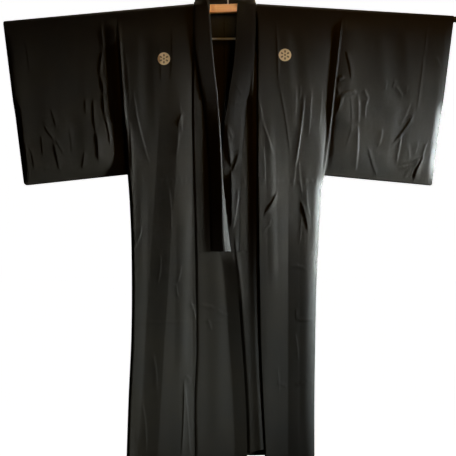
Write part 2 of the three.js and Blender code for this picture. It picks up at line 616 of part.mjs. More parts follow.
function wire(path, radius, steps) {
  const section = new THREE.Shape();
  section.absarc(0, 0, radius, 0, Math.PI * 2);
  return new THREE.ExtrudeGeometry(section, {
    extrudePath: path, steps, curveSegments: 4, bevelEnabled: false,
  });
}

// The hook: a stem from the bar's top and an arc whose inside top is the origin
function hangerHook() {
  const radius = HOOK_INNER_RADIUS + HOOK_WIRE_RADIUS;
  const stemZ = barZ(0) + BAR_HEIGHT / 2 + SEAM_GAP;
  const stem = [stemZ, mix(stemZ, HOOK_STEM_TOP_Z, 0.5), HOOK_STEM_TOP_Z, HOOK_STEM_TOP_Z + 8];
  const points = stem.map((z) => new THREE.Vector3(0, 0, z));
  points.push(new THREE.Vector3(5.5, 0, -29.5));
  for (let angle = -30; angle <= 210; angle += 30) {
    const turn = rad(angle);
    points.push(new THREE.Vector3(radius * Math.cos(turn), 0, -HOOK_INNER_RADIUS + radius * Math.sin(turn)));
  }
  return wire(new THREE.CatmullRomCurve3(points), HOOK_WIRE_RADIUS, 30);
}

// The thin rod under the bar, with its two upright ends
function obiRod() {
  const corner = OBI_ROD_CORNER;
  const rodZ = barZ(0) - OBI_ROD_DROP + BAR_HEIGHT / 2;
  const path = new THREE.CurvePath();
  const at = (x, z) => new THREE.Vector3(x, 0, z);
  const under = (x) => barZ(x) - BAR_HEIGHT / 2 - SEAM_GAP;
  const end = OBI_ROD_HALF_LENGTH;
  const line = (from, to) => path.add(new THREE.LineCurve3(from, to));
  const bend = (from, by, to) => path.add(new THREE.QuadraticBezierCurve3(from, by, to));
  line(at(-end, under(-end)), at(-end, rodZ + corner));
  bend(at(-end, rodZ + corner), at(-end, rodZ), at(-end + corner, rodZ));
  line(at(-end + corner, rodZ), at(end - corner, rodZ));
  bend(at(end - corner, rodZ), at(end, rodZ), at(end, rodZ + corner));
  line(at(end, rodZ + corner), at(end, under(end)));
  return wire(path, OBI_ROD_RADIUS, 30);
}

const finish = (color, roughness, metalness = 0) => (
  new THREE.MeshStandardMaterial({ color, roughness, metalness, side: THREE.DoubleSide })
);
const SILK = finish(0x1f1b15, 0.72);
const COLLAR_SILK = finish(0x17130d, 0.72);
const WOOD = finish(0xbf8141, 0.5);
const DARK_PIPE = finish(0x2b2825, 0.45, 0.3);
const STEEL = finish(0xa9abac, 0.3, 1);

const kimono = new THREE.Group();

function add(name, geometry, material) {
  const mesh = new THREE.Mesh(geometry, material);
  mesh.name = name;
  kimono.add(mesh);
}

for (const side of ['right', 'left']) {
  add(`body_${side}`, wallGeometry(bodyPanel(side), CLOTH), SILK);
  add(`okumi_${side}`, wallGeometry(okumiPanel(side), CLOTH), SILK);
  add(`sleeve_${side}`, wallGeometry(sleeve(side), CLOTH, { ring: true }), SILK);
  add(`hanger_arm_${side}`, hangerArm(side), DARK_PIPE);
}
const collar = collarBand(COLLAR_SHARES, COLLAR_END_DROP);
add('collar', wallGeometry(collar, COLLAR_CLOTH, { toSurface: true }), COLLAR_SILK);
add('over_collar', wallGeometry(overCollarBand(), OVER_COLLAR_CLOTH, { toSurface: true }), COLLAR_SILK);
add('hanger_bar', hangerBar(), WOOD);
add('hanger_hook', hangerHook(), STEEL);
add('hanger_obi_rod', obiRod(), STEEL);

export default kimono;
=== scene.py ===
"""A men's black crested kimono, hung open at the front on a wooden kimono hanger.

The cloth is a thin shell on the form of the solids, with the creases that the hanging
cloth shows. Sizes are in millimetres until a mesh is made, with the origin at the inside
top of the hook. A "drop" is a distance below the shoulder line's neck points, and a
"depth" is a distance out of the hanger's plane, to the front or to the back.
"""

import math

import bpy
import numpy as np
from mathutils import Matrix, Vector


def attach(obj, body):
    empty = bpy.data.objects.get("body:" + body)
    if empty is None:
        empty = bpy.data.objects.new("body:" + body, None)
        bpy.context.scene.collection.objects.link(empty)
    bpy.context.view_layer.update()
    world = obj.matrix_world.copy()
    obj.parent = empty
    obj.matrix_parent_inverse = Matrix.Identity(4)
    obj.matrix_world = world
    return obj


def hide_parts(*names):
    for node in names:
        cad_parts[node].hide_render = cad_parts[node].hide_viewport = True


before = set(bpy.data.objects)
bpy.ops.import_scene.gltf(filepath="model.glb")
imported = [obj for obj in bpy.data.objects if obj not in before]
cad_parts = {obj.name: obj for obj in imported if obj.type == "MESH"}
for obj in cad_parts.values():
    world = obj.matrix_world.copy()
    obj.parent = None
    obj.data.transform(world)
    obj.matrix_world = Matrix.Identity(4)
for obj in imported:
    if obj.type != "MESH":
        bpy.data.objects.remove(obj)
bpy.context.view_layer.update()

MM = 0.001

# Cloth and seams
CLOTH = 1.0
COLLAR_CLOTH = 2.2
OVER_COLLAR_CLOTH = 0.9
SEAM_GAP = 0.3
COLLAR_SEAM_GAP = 1.2
COLLAR_INSET = 1.9
OVER_COLLAR_GAP = 0.9
WALL_IN_SOLID = 1.6
CLOSED_DEPTH = WALL_IN_SOLID / 2 + SEAM_GAP / 2

# Main sizes of the garment
SHOULDER_Z = -96
HEM_DROP = 1384
HEM_LIFT = 24
CENTRE_X = -9
NECK_HALF = 97
NECK_SCOOP = 14
NECK_DEPTH = 13.6
ARMHOLE_DROP = 400
COLLAR_END_DROP = 755.7
OVER_COLLAR_DROP = 297
OKUMI_TIP_DROP = 150
OKUMI_WIDE_DROP = 757
SHOULDER_ROW_DROP = 110
BACK_ROW_DROP = 70
TUCK_DROP = 543
FULLNESS = {"front": {"right": 20, "left": 17}, "back": {"right": 17, "left": 17}}
SLEEVE_FULLNESS = 14
CREST_RADIUS = 19

# How the cloth rounds over and stands out
SIDE_OPEN_DEPTH = 7
SIDE_ROUNDING = {"right": 14, "left": 34}
LEFT_SHOULDER_ROUNDING = 150
SLEEVE_BOTTOM_ROUNDING = 80
CUFF_ROUNDING = 24
ARMHOLE_SEAM_RISE = 9
LAP_WIDTH = 38
LAP_RISE = 7.5
UNDERLAP_MARGIN = 9
UNDERLAP_DEPTH = 7
BACK_FOLD_SHARE = 0.8
PUCKER_SHARE = {"right": 0.4, "left": 0.8}
BODY_RIPPLE_SEED = {"front": {"right": 3, "left": 4}, "back": {"right": 13, "left": 14}}
SLEEVE_RIPPLE_SEED = {"right": 6, "left": 7}

# Hanger
ARM_RADIUS = 9
ARM_GAP = 0.95
ROLL_RADIUS = ARM_RADIUS + ARM_GAP + WALL_IN_SOLID / 2
ARM_SLOPE = {"right": 0.0916, "left": 0.0608}
ARM_END_X = {"right": -672, "left": 706}
SOCKET_INNER_X = 56.3
BAR_HALF_LENGTH = 70
BAR_HEIGHT = 26
BAR_DEPTH = 21
BAR_MIDDLE_Z = -111.5
BAR_TILT = 0.03
HOOK_WIRE_RADIUS = 2
HOOK_INNER_RADIUS = 14
OBI_ROD_RADIUS = 3.2
OBI_ROD_DROP = 105
OBI_ROD_HALF_LENGTH = 70

SIGN = {"right": -1, "left": 1}
OTHER = {"right": "left", "left": "right"}

# Fineness of the grids that the cloth is laid on
BODY_COLUMNS = 110
BODY_FRONT_ROWS = 290
BODY_BACK_ROWS = 90
OKUMI_COLUMNS = 46
SLEEVE_COLUMNS = 150
ROLL_ROWS = 19
COLLAR_TURN_DROP = 30
COLLAR_ROW = 4.5
RIM_ANGLE = 75
TURNED_ANGLE = 35


def table(columns, rows):
    """Rows of a table as dictionaries under the names of its columns."""
    names = columns.split()
    return [dict(zip(names, row)) for row in rows]


# Outlines of each half, by drop
SIDE = {
    "right": table("drop x", [
        (20, -340.5), (521, -307), (600, -301), (752, -295), (996, -295), (1208, -304),
        (1384, -310),
    ]),
    "left": table("drop x", [
        (14, 350), (524, 295), (555, 287), (722, 277), (844, 271), (996, 267.5),
        (1208, 264.5), (1384, 264.5),
    ]),
}
FRONT_SEAM = {
    "right": table("drop x", [
        (0, -106), (129, -107), (232, -110), (370, -110), (524, -106), (756, -100), (1056, -96),
        (1208, -102), (1384, -100),
    ]),
    "left": table("drop x", [(0, 88), (370, 88), (600, 88.5), (1000, 94), (1208, 103), (1384, 112)]),
}
COLLAR_SEAM = {
    "right": table("drop x", [
        (0, -106), (129, -106), (232, -91), (257, -87), (296, -79), (388, -68), (524, -59), (756, -53),
    ]),
    "left": table("drop x", [
        (0, 88), (175, 80.5), (257, 67), (296, 61), (388, 50), (524, 41), (756, 35),
    ]),
}
OKUMI_EDGE = {
    "right": table("drop x", [
        (757, 10), (798, 22), (843, 26), (965, 36.5), (1147, 49.5), (1278, 56), (1384, 58),
    ]),
    "left": table("drop x", [(757, -25), (965, -32), (1384, -38)]),
}
SLEEVE_CUT = {
    "right": dict(cuff_top_x=-687, cuff_bottom_x=-623, inside_drop=521, cuff_drop=555, corner=12),
    "left": dict(cuff_top_x=688.6, cuff_bottom_x=623, inside_drop=524, cuff_drop=555, corner=6),
}

# Soft folds: drops, x at the start, middle and end, widths to either side, and rise
FOLD_COLUMNS = "start end x0 x1 x2 low high rise"
FRONT_FOLDS = {
    "right": table(FOLD_COLUMNS, [
        (500, 1400, -262, -272, -284, 22, 26, 1.6),
        (560, 1150, -130, -134, -140, 26, 22, 1.2),
        (700, 1400, -40, -30, -20, 36, 36, 1.2),
        (60, 420, -250, -252, -240, 26, 26, -1.6),
    ]),
    "left": table(FOLD_COLUMNS, [
        (60, 420, 200, 214, 226, 26, 34, -1.6),
        (420, 1400, 238, 234, 238, 24, 20, 1.8),
        (330, 900, 126, 132, 140, 18, 18, 1.4),
        (760, 1400, 14, 24, 36, 26, 26, -1.6),
    ]),
}
SLEEVE_FOLDS = {
    "right": table(FOLD_COLUMNS, [
        (120, 500, -600, -596, -586, 40, 40, -0.9),
        (330, 530, -470, -466, -462, 30, 30, -0.9),
    ]),
    "left": table(FOLD_COLUMNS, [
        (60, 330, 500, 512, 520, 50, 40, -2.4),
        (300, 520, 540, 520, 500, 30, 30, -1.6),
    ]),
}

# Stretches of cloth that slope up to a line: drops, the line's x at the start, middle and
# end, the slope's width, its rise, and how late the rise comes
SLOPE_COLUMNS = "start end x0 x1 x2 width rise late"
FRONT_SLOPES = {
    "right": table(SLOPE_COLUMNS, [
        (220, 1500, -140, -182, -222, 60, 7, 1.1),
        (60, 1500, -112, -108, -104, 44, -4, 1.5),
    ]),
    "left": table(SLOPE_COLUMNS, [
        (110, 1450, 90, 90, 114, 36, 8, 1.6),
        (330, 1500, 184, 183, 188, 70, -5, 1.2),
        (640, 1500, 214, 212, 212, 30, 3.4, 0.8),
    ]),
}
SLEEVE_SLOPES = {
    "right": [],
    "left": table(SLOPE_COLUMNS, [
        (-60, 640, 366, 352, 334, 24, -1.2, 0.8),
    ]),
}

# Creases: a line from one place to another, how far it bows aside, its half width and rise.
# One flank is steep and the other gentle, by these shares of the half width. The steep flank
# is on the wearer's left, or on the wearer's right where the rise is negative.
STEEP_SHARE = 0.6
GENTLE_SHARE = 3.4
CREASE_COLUMNS = "x0 drop0 x1 drop1 bow width rise"
FRONT_CREASES = {
    "right": table(CREASE_COLUMNS, [
        (-288, 264, -234, 500, -7, 7, 1.5),
        (-298, 372, -290, 530, 0, 9, -2.0),
        (-153, 380, -136, 330, 2, 5, -1.8),
        (-148, 392, -158, 470, 2, 6, 1.0),
        (-146, 300, -140, 400, 2, 6, 1.0),
        (-212, 130, -204, 250, 3, 7, -0.9),
        (-170, 60, -176, 250, 3, 7, -0.8),
        (-115, 905, -99, 968, 4, 6, 1.4),
        (-141, 798, -155, 853, 3, 5, 1.1),
        (-155, 853, -149, 898, -2, 5, 1.0),
        (-262, 676, -294, 756, 8, 6, 1.4),
        (-273, 804, -296, 836, 2, 5, 1.2),
        (-134, 1138, -143, 1390, 3, 5, -2.4),
        (-132, 1130, -112, 1390, 0, 6, 0.9),
        (-128, 1130, -110, 1150, 0, 5, 0.9),
        (-300, 972, -110, 970, 2, 4, -0.7),
        (-88, 918, -34, 930, 3, 5, 1.2),
        (-34, 932, 14, 950, -4, 5, 1.1),
        (-62, 958, -50, 996, 2, 5, 1.3),
        (-96, 972, 30, 976, 2, 4, -0.8),
        (-230, 1060, -216, 1180, 5, 8, 0.9),
        (-262, 1210, -250, 1370, 6, 8, 0.9),
        (-204, 760, -214, 860, 4, 7, 0.7),
        (-180, 560, -172, 700, 4, 7, 0.7),
        (-316, 130, -300, 330, 6, 9, 0.8),
    ]),
    "left": table(CREASE_COLUMNS, [
        (144, 30, 152, 245, 1, 3, -1.1),
        (152, 238, 190, 480, 4, 3, -1.0),
        (88, 270, 106, 370, 2, 6, 1.5),
        (104, 355, 138, 470, 2, 7, 1.6),
        (234, 268, 201, 520, 4, 7, 3.0),
        (206, 246, 204, 350, 3, 6, 1.2),
        (222, 250, 214, 300, 2, 6, 1.0),
        (255, 250, 242, 420, 3, 6, 1.2),
        (286, 250, 276, 400, 3, 6, 1.0),
        (219, 600, 244, 705, 4, 5, -2.0),
        (216, 470, 228, 590, -3, 5, 1.2),
        (206, 500, 196, 560, 2, 5, 1.0),
        (149, 572, 104, 650, 5, 5, -2.2),
        (132, 660, 104, 700, 4, 5, 1.2),
        (240, 560, 252, 660, -4, 5, 1.1),
        (224, 640, 216, 740, 2, 5, 0.9),
        (180, 800, 246, 806, 2, 5, 0.8),
        (232, 780, 262, 760, 2, 5, 0.9),
        (196, 792, 252, 822, 3, 4, 0.9),
        (206, 966, 266, 968, 1, 4, -2.4),
        (206, 930, 208, 968, 0, 4, -1.0),
        (146, 1160, 180, 1170, 2, 5, -1.4),
        (200, 1162, 268, 1146, 2, 5, -1.8),
        (204, 1000, 214, 1090, 2, 6, 0.9),
        (150, 1100, 156, 1190, 2, 6, 0.7),
        (106, 430, 112, 560, 3, 5, 1.0),
    ]),
}
SLEEVE_CREASES = {
    "right": table(CREASE_COLUMNS, [
        (-389, 60, -381, 145, 1, 5, -1.8),
        (-381, 141, -392, 228, -2, 5, -2.2),
        (-392, 222, -380, 280, 4, 5, -2.4),
        (-380, 277, -376, 345, 0, 5, -2.2),
        (-376, 340, -359, 438, 3, 5, -2.2),
        (-394, 72, -386, 150, 0, 5, -1.0),
        (-410, 290, -403, 394, -2, 6, -1.8),
        (-403, 385, -394, 486, 2, 7, -2.2),
        (-436, 290, -433, 342, 1, 5, -1.3),
        (-540, 324, -523, 382, 2, 5, -1.2),
        (-560, 372, -527, 420, -2, 5, -1.2),
        (-528, 416, -500, 464, 2, 5, -1.0),
        (-533, 425, -514, 512, 3, 7, -1.8),
        (-437, 450, -447, 508, 2, 5, -1.3),
        (-572, 400, -564, 470, 2, 6, -0.9),
        (-604, 440, -590, 510, 3, 7, -1.1),
        (-484, 380, -476, 460, 2, 6, -0.8),
        (-620, 110, -606, 220, 4, 8, -0.8),
        (-350, 300, -342, 420, 3, 6, -0.9),
    ]),
    "left": table(CREASE_COLUMNS, [
        (396, 276, 397, 372, 2, 8, 1.9),
        (397, 364, 388, 518, 2, 9, 2.4),
        (355, 142, 374, 240, 5, 5, -2.0),
        (332, 238, 356, 222, 3, 5, -1.8),
        (332, 246, 356, 232, 3, 5, 1.2),
        (320, 246, 341, 280, -3, 5, -1.8),
        (340, 280, 394, 266, 3, 5, -1.8),
        (340, 290, 394, 274, 3, 5, 1.3),
        (341, 284, 330, 336, 3, 5, -1.6),
        (350, 284, 336, 320, 3, 5, 1.2),
        (416, 262, 430, 290, -2, 5, 1.6),
        (430, 286, 418, 354, -5, 5, 1.8),
        (372, 280, 376, 372, 1, 4, -0.9),
        (376, 368, 356, 440, 3, 5, -0.9),
        (508, 232, 498, 262, 1, 5, -1.2),
        (510, 252, 532, 286, 2, 6, 1.4),
        (484, 236, 478, 268, 1, 5, 0.9),
        (546, 250, 540, 280, 2, 5, 0.9),
        (609, 34, 595, 170, 1, 3, -0.7),
        (595, 150, 571, 340, 2, 3, -0.9),
        (568, 334, 492, 440, 4, 4, -1.6),
        (556, 300, 520, 380, 4, 7, 1.0),
        (528, 390, 511, 494, 2, 5, 2.0),
        (424, 436, 456, 532, -3, 4, -1.3),
        (594, 472, 515, 502, 5, 5, -2.4),
        (594, 464, 515, 492, 5, 6, 1.6),
        (596, 466, 566, 540, -3, 5, -3.4),
        (586, 472, 556, 536, -3, 6, 1.6),
        (592, 480, 606, 424, 2, 4, 2.0),
        (560, 500, 536, 536, 2, 6, 1.3),
        (580, 420, 566, 466, 2, 6, 1.0),
        (470, 380, 456, 440, 3, 6, 1.0),
        (548, 430, 552, 480, 2, 5, 0.9),
        (363, 30, 357, 84, 0, 4, 1.2),
        (630, 160, 648, 200, 3, 8, 0.9),
    ]),
}
COLLAR_CREASES = table(CREASE_COLUMNS, [
    (16, 243, 42, 288, 3, 4, -1.0),
    (14, 304, 40, 310, -2, 4, -0.8),
    (-9, 360, 8, 508, 2, 5, -3.2),
    (8, 500, 9, 690, 2, 7, -4.5),
    (31, 455, 11, 515, 3, 5, -1.8),
    (33, 560, 12, 700, 3, 6, 1.8),
    (-6, 372, 14, 420, 2, 4, -1.2),
    (18, 700, 34, 900, 2, 5, -1.6),
    (25, 760, 44, 960, 3, 5, -1.4),
])

# The collar on the fronts, by drop, and round the neck, by degrees over the shoulder and
# then on round the back
COLLAR_FRONT = {
    "right": table("drop crest_x crest_depth edge_x edge_depth", [
        (30, -57, 20, -58.5, 14.5), (175, -45, 25, -46.5, 17), (296, -31, 30, -32, 20),
        (388, -24, 33, -24.5, 21), (524, -18, 35, -16.5, 22), (600, -16, 35, -9, 22),
        (700, -14.5, 35, 1, 22), (756, -11, 35, 9, 22.5),
    ]),
    "left": table("drop crest_x crest_depth edge_x edge_depth", [
        (30, 50, 16.5, 27, 14.6), (175, 40, 14.8, 18, 12.8), (296, 22, 12.5, 0, 11),
        (388, 12, 11.4, -11, 10.2), (524, 2, 11.2, -20, 10.2), (756, -3, 11.2, -26, 10.2),
    ]),
}
COLLAR_NECK = {
    "right": table("turn crest_x crest_y crest_drop edge_x edge_y edge_drop", [
        (0, -59, -20, 14, -56, -14, 12), (60, -66, -18.5, -4, -59, -14, -12),
        (120, -84, -11, -20, -68, -7, -36), (180, -96, 4, -20, -82, 6, -44),
        (216, -84, 15.5, -12, -76, 16, -43), (234, -62, 18, -10, -58, 20, -41),
        (270, CENTRE_X, 20, -8, CENTRE_X, 23, -38),
    ]),
    "left": table("turn crest_x crest_y crest_drop edge_x edge_y edge_drop", [
        (0, 52, -18.5, 14, 28, -15, 12), (60, 56, -19, -2, 33, -15, -10),
        (120, 68, -11, -18, 48, -7, -34), (180, 78, 4, -20, 64, 6, -44),
        (216, 66, 15.5, -12, 58, 16, -43), (234, 44, 18, -10, 40, 20, -41),
        (270, CENTRE_X, 20, -8, CENTRE_X, 23, -38),
    ]),
}
CREST_SHARE = 0.62

# Silk: the scales of its textures on cloth measured in metres, and its colours
THREAD_SCALE = 900.0
SLUB_SCALE = 620.0
CLOUD_SCALE = 9.0
GRAIN_SCALE = 260.0
BODY_TONE = (0.0082, 0.0054, 0.0018)
# The collar's tone is darker than the body's. This is painted shade, standing in for the shadow on the
# tilted collar, not a darker silk.
COLLAR_TONE_WITH_PAINTED_SHADE = (0.0050, 0.0030, 0.0008)
CREST_CREAM = (0.62, 0.45, 0.25, 1)
CREST_MARKS = (0.07, 0.05, 0.03, 1)

# Crests: two on the chest, one at the centre back, and one on the back of each sleeve
CRESTS = {
    "body": table("face x drop", [
        ("front", -194.5, 171.8), ("front", 173.3, 159.6), ("back", CENTRE_X, 62),
    ]),
    "sleeve": table("face x drop", [("back", -492, 150), ("back", 474, 132)]),
}


def mix(a, b, share):
    return a + (b - a) * share


def smooth(value):
    value = np.clip(value, 0, 1)
    return value * value * (3 - 2 * value)


def eased(value, start, end):
    """0 up to the start, 1 from the end on, and smooth between."""
    return smooth((value - start) / (end - start))


def quarter_sine(value):
    return np.sin(np.pi / 2 * np.clip(value, 0, 1))


def along(rows, at, column, key="drop"):
    """A table's column on a smooth curve through its rows."""
    places = np.array([row[key] for row in rows], float)
    values = np.array([row[column] for row in rows], float)
    before = np.maximum(np.arange(len(rows)) - 1, 0)
    after = np.minimum(np.arange(len(rows)) + 1, len(rows) - 1)
    slopes = (values[after] - values[before]) / (places[after] - places[before])
    at = np.clip(np.asarray(at, float), places[0], places[-1])
    k = np.clip(np.searchsorted(places, at, side="right") - 1, 0, len(rows) - 2)
    span = places[k + 1] - places[k]
    t = (at - places[k]) / span
    return (
        values[k] * (1 + 2 * t) * (1 - t) ** 2 + slopes[k] * span * t * (1 - t) ** 2
        + values[k + 1] * t * t * (3 - 2 * t) + slopes[k + 1] * span * t * t * (t - 1)
    )


def fold_heights(folds, x, drop):
    """Soft upright swells, each fading out at its ends."""
    height = np.zeros(np.broadcast(x, drop).shape)
    for fold in folds:
        t = (drop - fold["start"]) / (fold["end"] - fold["start"])
        line = mix(mix(fold["x0"], fold["x1"], t), mix(fold["x1"], fold["x2"], t), t)
        reach = np.where(x < line, fold["low"], fold["high"])
        s = np.clip(np.abs(x - line) / reach, 0, 1)
        height += fold["rise"] * (1 - s * s) ** 2 * smooth(t * 5) * smooth((1 - t) * 5)
    return height


def slope_heights(slopes, x, drop):
    """Level on the right of each line, and lower by its rise on the left of its slope."""
    height = np.zeros(np.broadcast(x, drop).shape)
    for slope in slopes:
        t = (drop - slope["start"]) / (slope["end"] - slope["start"])
        line = mix(mix(slope["x0"], slope["x1"], t), mix(slope["x1"], slope["x2"], t), t)
        up = np.clip((x - line) / slope["width"] + 1, 0, 1) ** slope["late"]
        height += slope["rise"] * (up - 1) * smooth(t * 6)
    return height


def crease_heights(creases, x, drop):
    """Pressed and crumpled lines: ridges with one steep and one gentle flank."""
    height = np.zeros(np.broadcast(x, drop).shape)
    for crease in creases:
        run_x = crease["x1"] - crease["x0"]
        run_drop = crease["drop1"] - crease["drop0"]
        length = math.hypot(run_x, run_drop)
        t = ((x - crease["x0"]) * run_x + (drop - crease["drop0"]) * run_drop) / length**2
        aside = ((x - crease["x0"]) * run_drop - (drop - crease["drop0"]) * run_x) / length
        bowed = (aside - crease["bow"] * 4 * t * (1 - t)) * (1 if run_drop >= 0 else -1)
        reach = crease["width"] * np.where(bowed * crease["rise"] > 0, STEEP_SHARE, GENTLE_SHARE)
        s = np.clip(np.abs(bowed) / reach, 0, 1)
        height += abs(crease["rise"]) * (1 - s) ** 2 * smooth(t * 4) * smooth((1 - t) * 4)
    return height


def ripple(x, drop, seed):
    """The slight unevenness of hanging silk: long upright waves of several widths."""
    chance = np.random.default_rng(seed)
    height = np.zeros(np.broadcast(x, drop).shape)
    for wave in (190, 120, 82, 55, 38):
        phase = chance.uniform(0, 2 * np.pi, 3)
        lean = chance.uniform(-0.12, 0.12)
        swing = 0.6 + 0.4 * np.sin(drop / chance.uniform(160, 260) + phase[1])
        height += wave * 0.0018 * swing * np.sin(2 * np.pi * (x + lean * drop) / wave + phase[0])
    return height


def puckers(x, drop):
    """The stitched tuck across the panels: a small ledge with gathers on either side."""
    away = drop - TUCK_DROP
    ledge = 0.6 * smooth((away + 4) / 4) * (1 - smooth(away / 30)) * (0.6 + 0.4 * np.sin(x / 17))
    gathers = np.sin(x / 2.6 + 1.7 * np.sin(x / 23)) * np.exp(-(away / 7) ** 2)
    return ledge + 0.55 * gathers * (0.6 + 0.4 * np.sin(x / 31))


def side_x(side, drop):
    """The body's side. The armhole seam at its top is straight."""
    rows = SIDE[side]
    top, under = rows[0], rows[1]
    straight = mix(top["x"], under["x"], (drop - top["drop"]) / (under["drop"] - top["drop"]))
    return np.where(drop <= under["drop"], straight, along(rows[1:], drop, "x"))


def arm_axis_drop(side, x):
    """The drop of the middle of the hanger's arm, which slopes to its end."""
    neck_x = CENTRE_X + SIGN[side] * NECK_HALF
    return ARM_SLOPE[side] * SIGN[side] * (x - neck_x) + WALL_IN_SOLID / 2 + ROLL_RADIUS


def side_depth(drop):
    """Half the gap between front and back at the side: open at the armhole, sewn below it."""
    opened = mix(ROLL_RADIUS, SIDE_OPEN_DEPTH, smooth(drop / 300))
    return mix(opened, CLOSED_DEPTH, eased(drop, ARMHOLE_DROP - 90, ARMHOLE_DROP))


def seam_ridge(side, x, drop):
    """The armhole seam stands up, and slopes down to the panel and to the sleeve."""
    beside = (x - side_x(side, drop)) * SIGN[side]
    if side == "right":
        sleeve_side = np.clip(1 - (beside - 10) / 30, 0, 1)
        panel_side = 1 - smooth(-beside / 14)
        ridge = ARMHOLE_SEAM_RISE * np.where(beside > 0, sleeve_side, panel_side)
        ridge = ridge + 1.5 * np.clip(1 - np.abs(beside) / 8, 0, 1) ** 2
        return ridge * eased(drop, 20, 70) * (1 - eased(drop, 320, 460))
    ramp = mix(21, 9, eased(drop, 240, 420))
    panel_side = ARMHOLE_SEAM_RISE * np.clip(1 + beside / ramp, 0, 1)
    sleeve_side = 3 * np.clip(1 - beside / 5, 0, 1) + 6 * (1 - smooth(beside / 90))
    ridge = np.where(beside < 0, panel_side, sleeve_side)
    return ridge * eased(drop, 30, 90) * (1 - eased(drop, ARMHOLE_DROP + 60, ARMHOLE_DROP + 150))


def seam_groove(side, x, drop):
    """The front seam sinks between the panel and the strip or collar beside it."""
    beside = (x - along(FRONT_SEAM[side], drop, "x")) * SIGN[side]
    if side == "right":
        sunk = np.clip(1 + beside / 7, 0, 1) ** 1.3
        return np.where(beside < 0, 1.5 * smooth(-beside / 9) - 2 * sunk, 0)
    width = np.where(beside > 0, 4, 13)
    return -7.5 * np.clip(1 - np.abs(beside) / width, 0, 1) ** 1.3


def fold_source(side, x, face):
    """The half whose folds a face shows, and where. The back shows the front's, mirrored."""
    if face == "front":
        return side, x
    return OTHER[side], 2 * CENTRE_X - x


def body_depth(side, x, drop, face):
    """How far a body panel stands out, with its folds, creases and seams."""
    inside = np.abs(side_x(side, drop) - x)
    rounding = SIDE_ROUNDING[side]
    if side == "left":
        rounding = mix(LEFT_SHOULDER_ROUNDING, rounding, eased(drop, 250, 470))
    shut = 1 - (1 - np.clip(inside / rounding, 0, 1)) ** 3
    depth = mix(side_depth(drop), FULLNESS[face][side], shut)
    shown, at_x = fold_source(side, x, face)
    strength = 1 if face == "front" else BACK_FOLD_SHARE
    broad = fold_heights(FRONT_FOLDS[shown], at_x, drop)
    broad = broad + slope_heights(FRONT_SLOPES[shown], at_x, drop)
    depth = depth + broad * strength * smooth(inside / 30)
    fine = crease_heights(FRONT_CREASES[shown], at_x, drop) * strength
    fine = fine + puckers(x, drop) * PUCKER_SHARE[side]
    fine = fine + ripple(x, drop, BODY_RIPPLE_SEED[face][side])
    depth = depth + fine * smooth(inside / 14) + seam_ridge(side, x, drop)
    if face == "front":
        depth = depth + seam_groove(side, x, drop)
    else:
        centre_seam = 1.2 * np.clip(1 - np.abs(x - CENTRE_X) / 4, 0, 1) ** 1.5
        depth = depth - centre_seam
    depth = np.maximum(depth, CLOSED_DEPTH)
    inside_neck = NECK_HALF - np.abs(x - CENTRE_X)
    top_depth = mix(ROLL_RADIUS, NECK_DEPTH, smooth(inside_neck / 16))
    return mix(top_depth, depth, smooth((drop - arm_axis_drop(side, x)) / 120))


def body_panel(side):
    """Middle points of one panel: front hem, over the shoulder, back hem."""
    neck_x = CENTRE_X + SIGN[side] * NECK_HALF
    share = np.linspace(0, 1, BODY_COLUMNS)[:, None]
    shoulder_x = mix(neck_x, SIDE[side][0]["x"], share)
    axis = arm_axis_drop(side, shoulder_x)
    columns = []

    def add(x, y, drop):
        shape = (share.shape[0], np.shape(drop)[1])
        columns.append(np.stack([np.broadcast_to(part, shape) for part in (x, y, drop)], axis=-1))

    def front(drop):
        x = mix(along(FRONT_SEAM[side], drop, "x"), side_x(side, drop), share)
        add(x, -body_depth(side, x, drop, "front"), drop)

    def back(inner_x, drop):
        x = mix(inner_x, side_x(side, drop), share)
        add(x, body_depth(side, x, drop, "back"), drop)

    front(np.linspace(HEM_DROP, SHOULDER_ROW_DROP, BODY_FRONT_ROWS)[None, :] + 0 * share)
    front(mix(axis, SHOULDER_ROW_DROP, np.linspace(1, 0, 24)[None, 1:-1]))
    turn = np.radians(np.linspace(0, 180, ROLL_ROWS))[None, :]
    roll_x = mix(neck_x, side_x(side, axis), share)
    roll_y = -ROLL_RADIUS * np.cos(turn) + 0 * share
    add(roll_x + 0 * turn, roll_y, axis - ROLL_RADIUS * np.sin(turn))
    scoop = np.radians(np.linspace(0, 90, 16))[None, 1:]
    back(mix(CENTRE_X, neck_x, np.cos(scoop)), axis + NECK_SCOOP * np.sin(scoop))
    back(CENTRE_X, mix(axis + NECK_SCOOP, BACK_ROW_DROP, np.linspace(0, 1, 12)[None, 1:-1]))
    back(CENTRE_X, np.linspace(BACK_ROW_DROP, HEM_DROP, BODY_BACK_ROWS)[None, :] + 0 * share)
    return np.concatenate(columns, axis=1)


